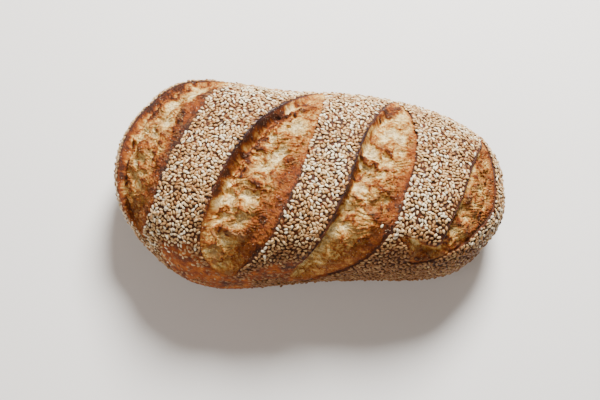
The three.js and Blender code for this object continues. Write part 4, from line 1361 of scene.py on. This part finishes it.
LIGHTS = {  # diameter, place and colour of each round light
    "key": (0.46, (0.24, 0.76, 0.85), (1.0, 0.985, 0.96)),
    "fill": (1.2, (-0.6, -0.7, 0.8), (1.0, 0.885, 0.82)),
}
LIGHT_AIM = (0.0, 0.0, 0.03)
WORLD_COLOUR = (1.0, 0.92, 0.82, 1.0)
FLOOR_CELLS = 8
FLOOR_HALF = 4.0
SENSOR_WIDTH = 36.0
PICTURE_WIDTH = 600.0
PICTURE_SHIFT = (9.4, 14.6)  # the loaf stands this many pixels right of and above the middle
AIM_HEIGHT = 40.0


def make_floor(settings):
    bm = bmesh.new()
    bmesh.ops.create_grid(bm, x_segments=FLOOR_CELLS, y_segments=FLOOR_CELLS, size=FLOOR_HALF)
    mesh = mesh_of(bm, "floor")
    mesh.materials.append(floor_material(tuple(settings.floor)))
    floor = in_scene("floor", mesh)


def make_lights(settings):
    for name, (diameter, place, colour) in LIGHTS.items():
        data = bpy.data.lights.new(f"{name}_light", "AREA")
        data.shape = "DISK"
        data.size = diameter
        data.energy = getattr(settings, f"{name}_power")
        data.color = colour
        light = in_scene(f"{name}_light", data)
        light.location = place
        light.rotation_euler = (Vector(LIGHT_AIM) - Vector(place)).to_track_quat("-Z", "Y").to_euler()
    world = bpy.data.worlds.new("studio")
    world.use_nodes = True
    background = world.node_tree.nodes["Background"]
    background.inputs["Color"].default_value = WORLD_COLOUR
    background.inputs["Strength"].default_value = settings.world_light
    bpy.context.scene.world = world


def make_camera(settings):
    data = bpy.data.cameras.new("camera")
    data.lens = settings.lens
    data.sensor_width = SENSOR_WIDTH
    data.shift_x = -PICTURE_SHIFT[0] / PICTURE_WIDTH
    data.shift_y = -PICTURE_SHIFT[1] / PICTURE_WIDTH
    data.clip_start = 0.01
    camera = in_scene("camera", data)
    turn, rise = settings.azimuth, settings.elevation
    back = Vector((math.sin(turn) * math.cos(rise), -math.cos(turn) * math.cos(rise), math.sin(rise)))
    aim = Vector((np.array([0.0, 0.0, AIM_HEIGHT]) - MIDDLE) * MM)
    camera.location = aim + back * settings.distance
    camera.rotation_euler = back.to_track_quat("Z", "Y").to_euler()
    bpy.context.scene.camera = camera


# Operators

class BREAD_OT_stage(bpy.types.Operator):
    """Makes the floor, the soft lights and the camera"""
    bl_idname = "bread.stage"
    bl_label = "Floor, lights and camera"

    def execute(self, context):
        for make in (make_floor, make_lights, make_camera):
            make(context.scene.bread_stage)
        return {"FINISHED"}


class BREAD_OT_crust(bpy.types.Operator):
    """Makes the crust with its ears and its sole"""
    bl_idname = "bread.crust"
    bl_label = "Crust"

    def execute(self, context):
        settings = context.scene.bread_dough
        make_crust(settings, crust_material(shared_groups(settings)))
        return {"FINISHED"}


class BREAD_OT_crumb(bpy.types.Operator):
    """Makes the torn crumb in the five slashes"""
    bl_idname = "bread.crumb"
    bl_label = "Torn crumb"

    def execute(self, context):
        settings = context.scene.bread_dough
        material = crumb_material(shared_groups(settings))
        for name, slash in SLASHES.items():
            make_torn_piece(f"torn_crumb_{name}", slash, settings, material)
        return {"FINISHED"}


class BREAD_OT_sesame(bpy.types.Operator):
    """Scatters the sesame seeds over the crust"""
    bl_idname = "bread.sesame"
    bl_label = "Sesame seeds"

    def execute(self, context):
        settings = context.scene.bread_sesame
        # The point's colour serves for each seed's tip and for the painted shade on its sides
        tip = tuple(settings.point)
        materials = {kind: seed_material(kind, tuple(getattr(settings, kind)), tip) for kind in KINDS}
        make_seeds(settings, materials)
        return {"FINISHED"}


# Panel and registration

class BREAD_PT_loaf(bpy.types.Panel):
    """Sizes, colours and pieces of the sesame spelt bread"""
    bl_idname = "BREAD_PT_loaf"
    bl_label = "Sesame Spelt Bread"
    bl_space_type = "VIEW_3D"
    bl_region_type = "UI"
    bl_category = "Bread"

    def draw(self, context):
        for name, operators in PANEL_BOXES.items():
            settings = getattr(context.scene, name)
            box = self.layout.box()
            for prop in settings.bl_rna.properties:
                if prop.identifier not in {"rna_type", "name"}:
                    box.prop(settings, prop.identifier)
            for operator in operators:
                box.operator(operator.bl_idname)


SETTINGS = {"bread_stage": BreadStage, "bread_dough": BreadDough, "bread_sesame": BreadSesame}
PANEL_BOXES = {
    "bread_stage": (BREAD_OT_stage,),
    "bread_dough": (BREAD_OT_crust, BREAD_OT_crumb),
    "bread_sesame": (BREAD_OT_sesame,),
}
OPERATORS = (BREAD_OT_stage, BREAD_OT_crust, BREAD_OT_crumb, BREAD_OT_sesame)
CLASSES = (*SETTINGS.values(), *OPERATORS, BREAD_PT_loaf)


def register():
    for cls in CLASSES:
        bpy.utils.register_class(cls)
    for name, cls in SETTINGS.items():
        setattr(bpy.types.Scene, name, bpy.props.PointerProperty(type=cls))


def unregister():
    for name in SETTINGS:
        delattr(bpy.types.Scene, name)
    for cls in reversed(CLASSES):
        bpy.utils.unregister_class(cls)


def main():
    register()
    bpy.ops.bread.stage()
    bpy.ops.bread.crust()
    bpy.ops.bread.crumb()
    bpy.ops.bread.sesame()
    bpy.context.view_layer.update()


if __name__ == "__main__":
    main()
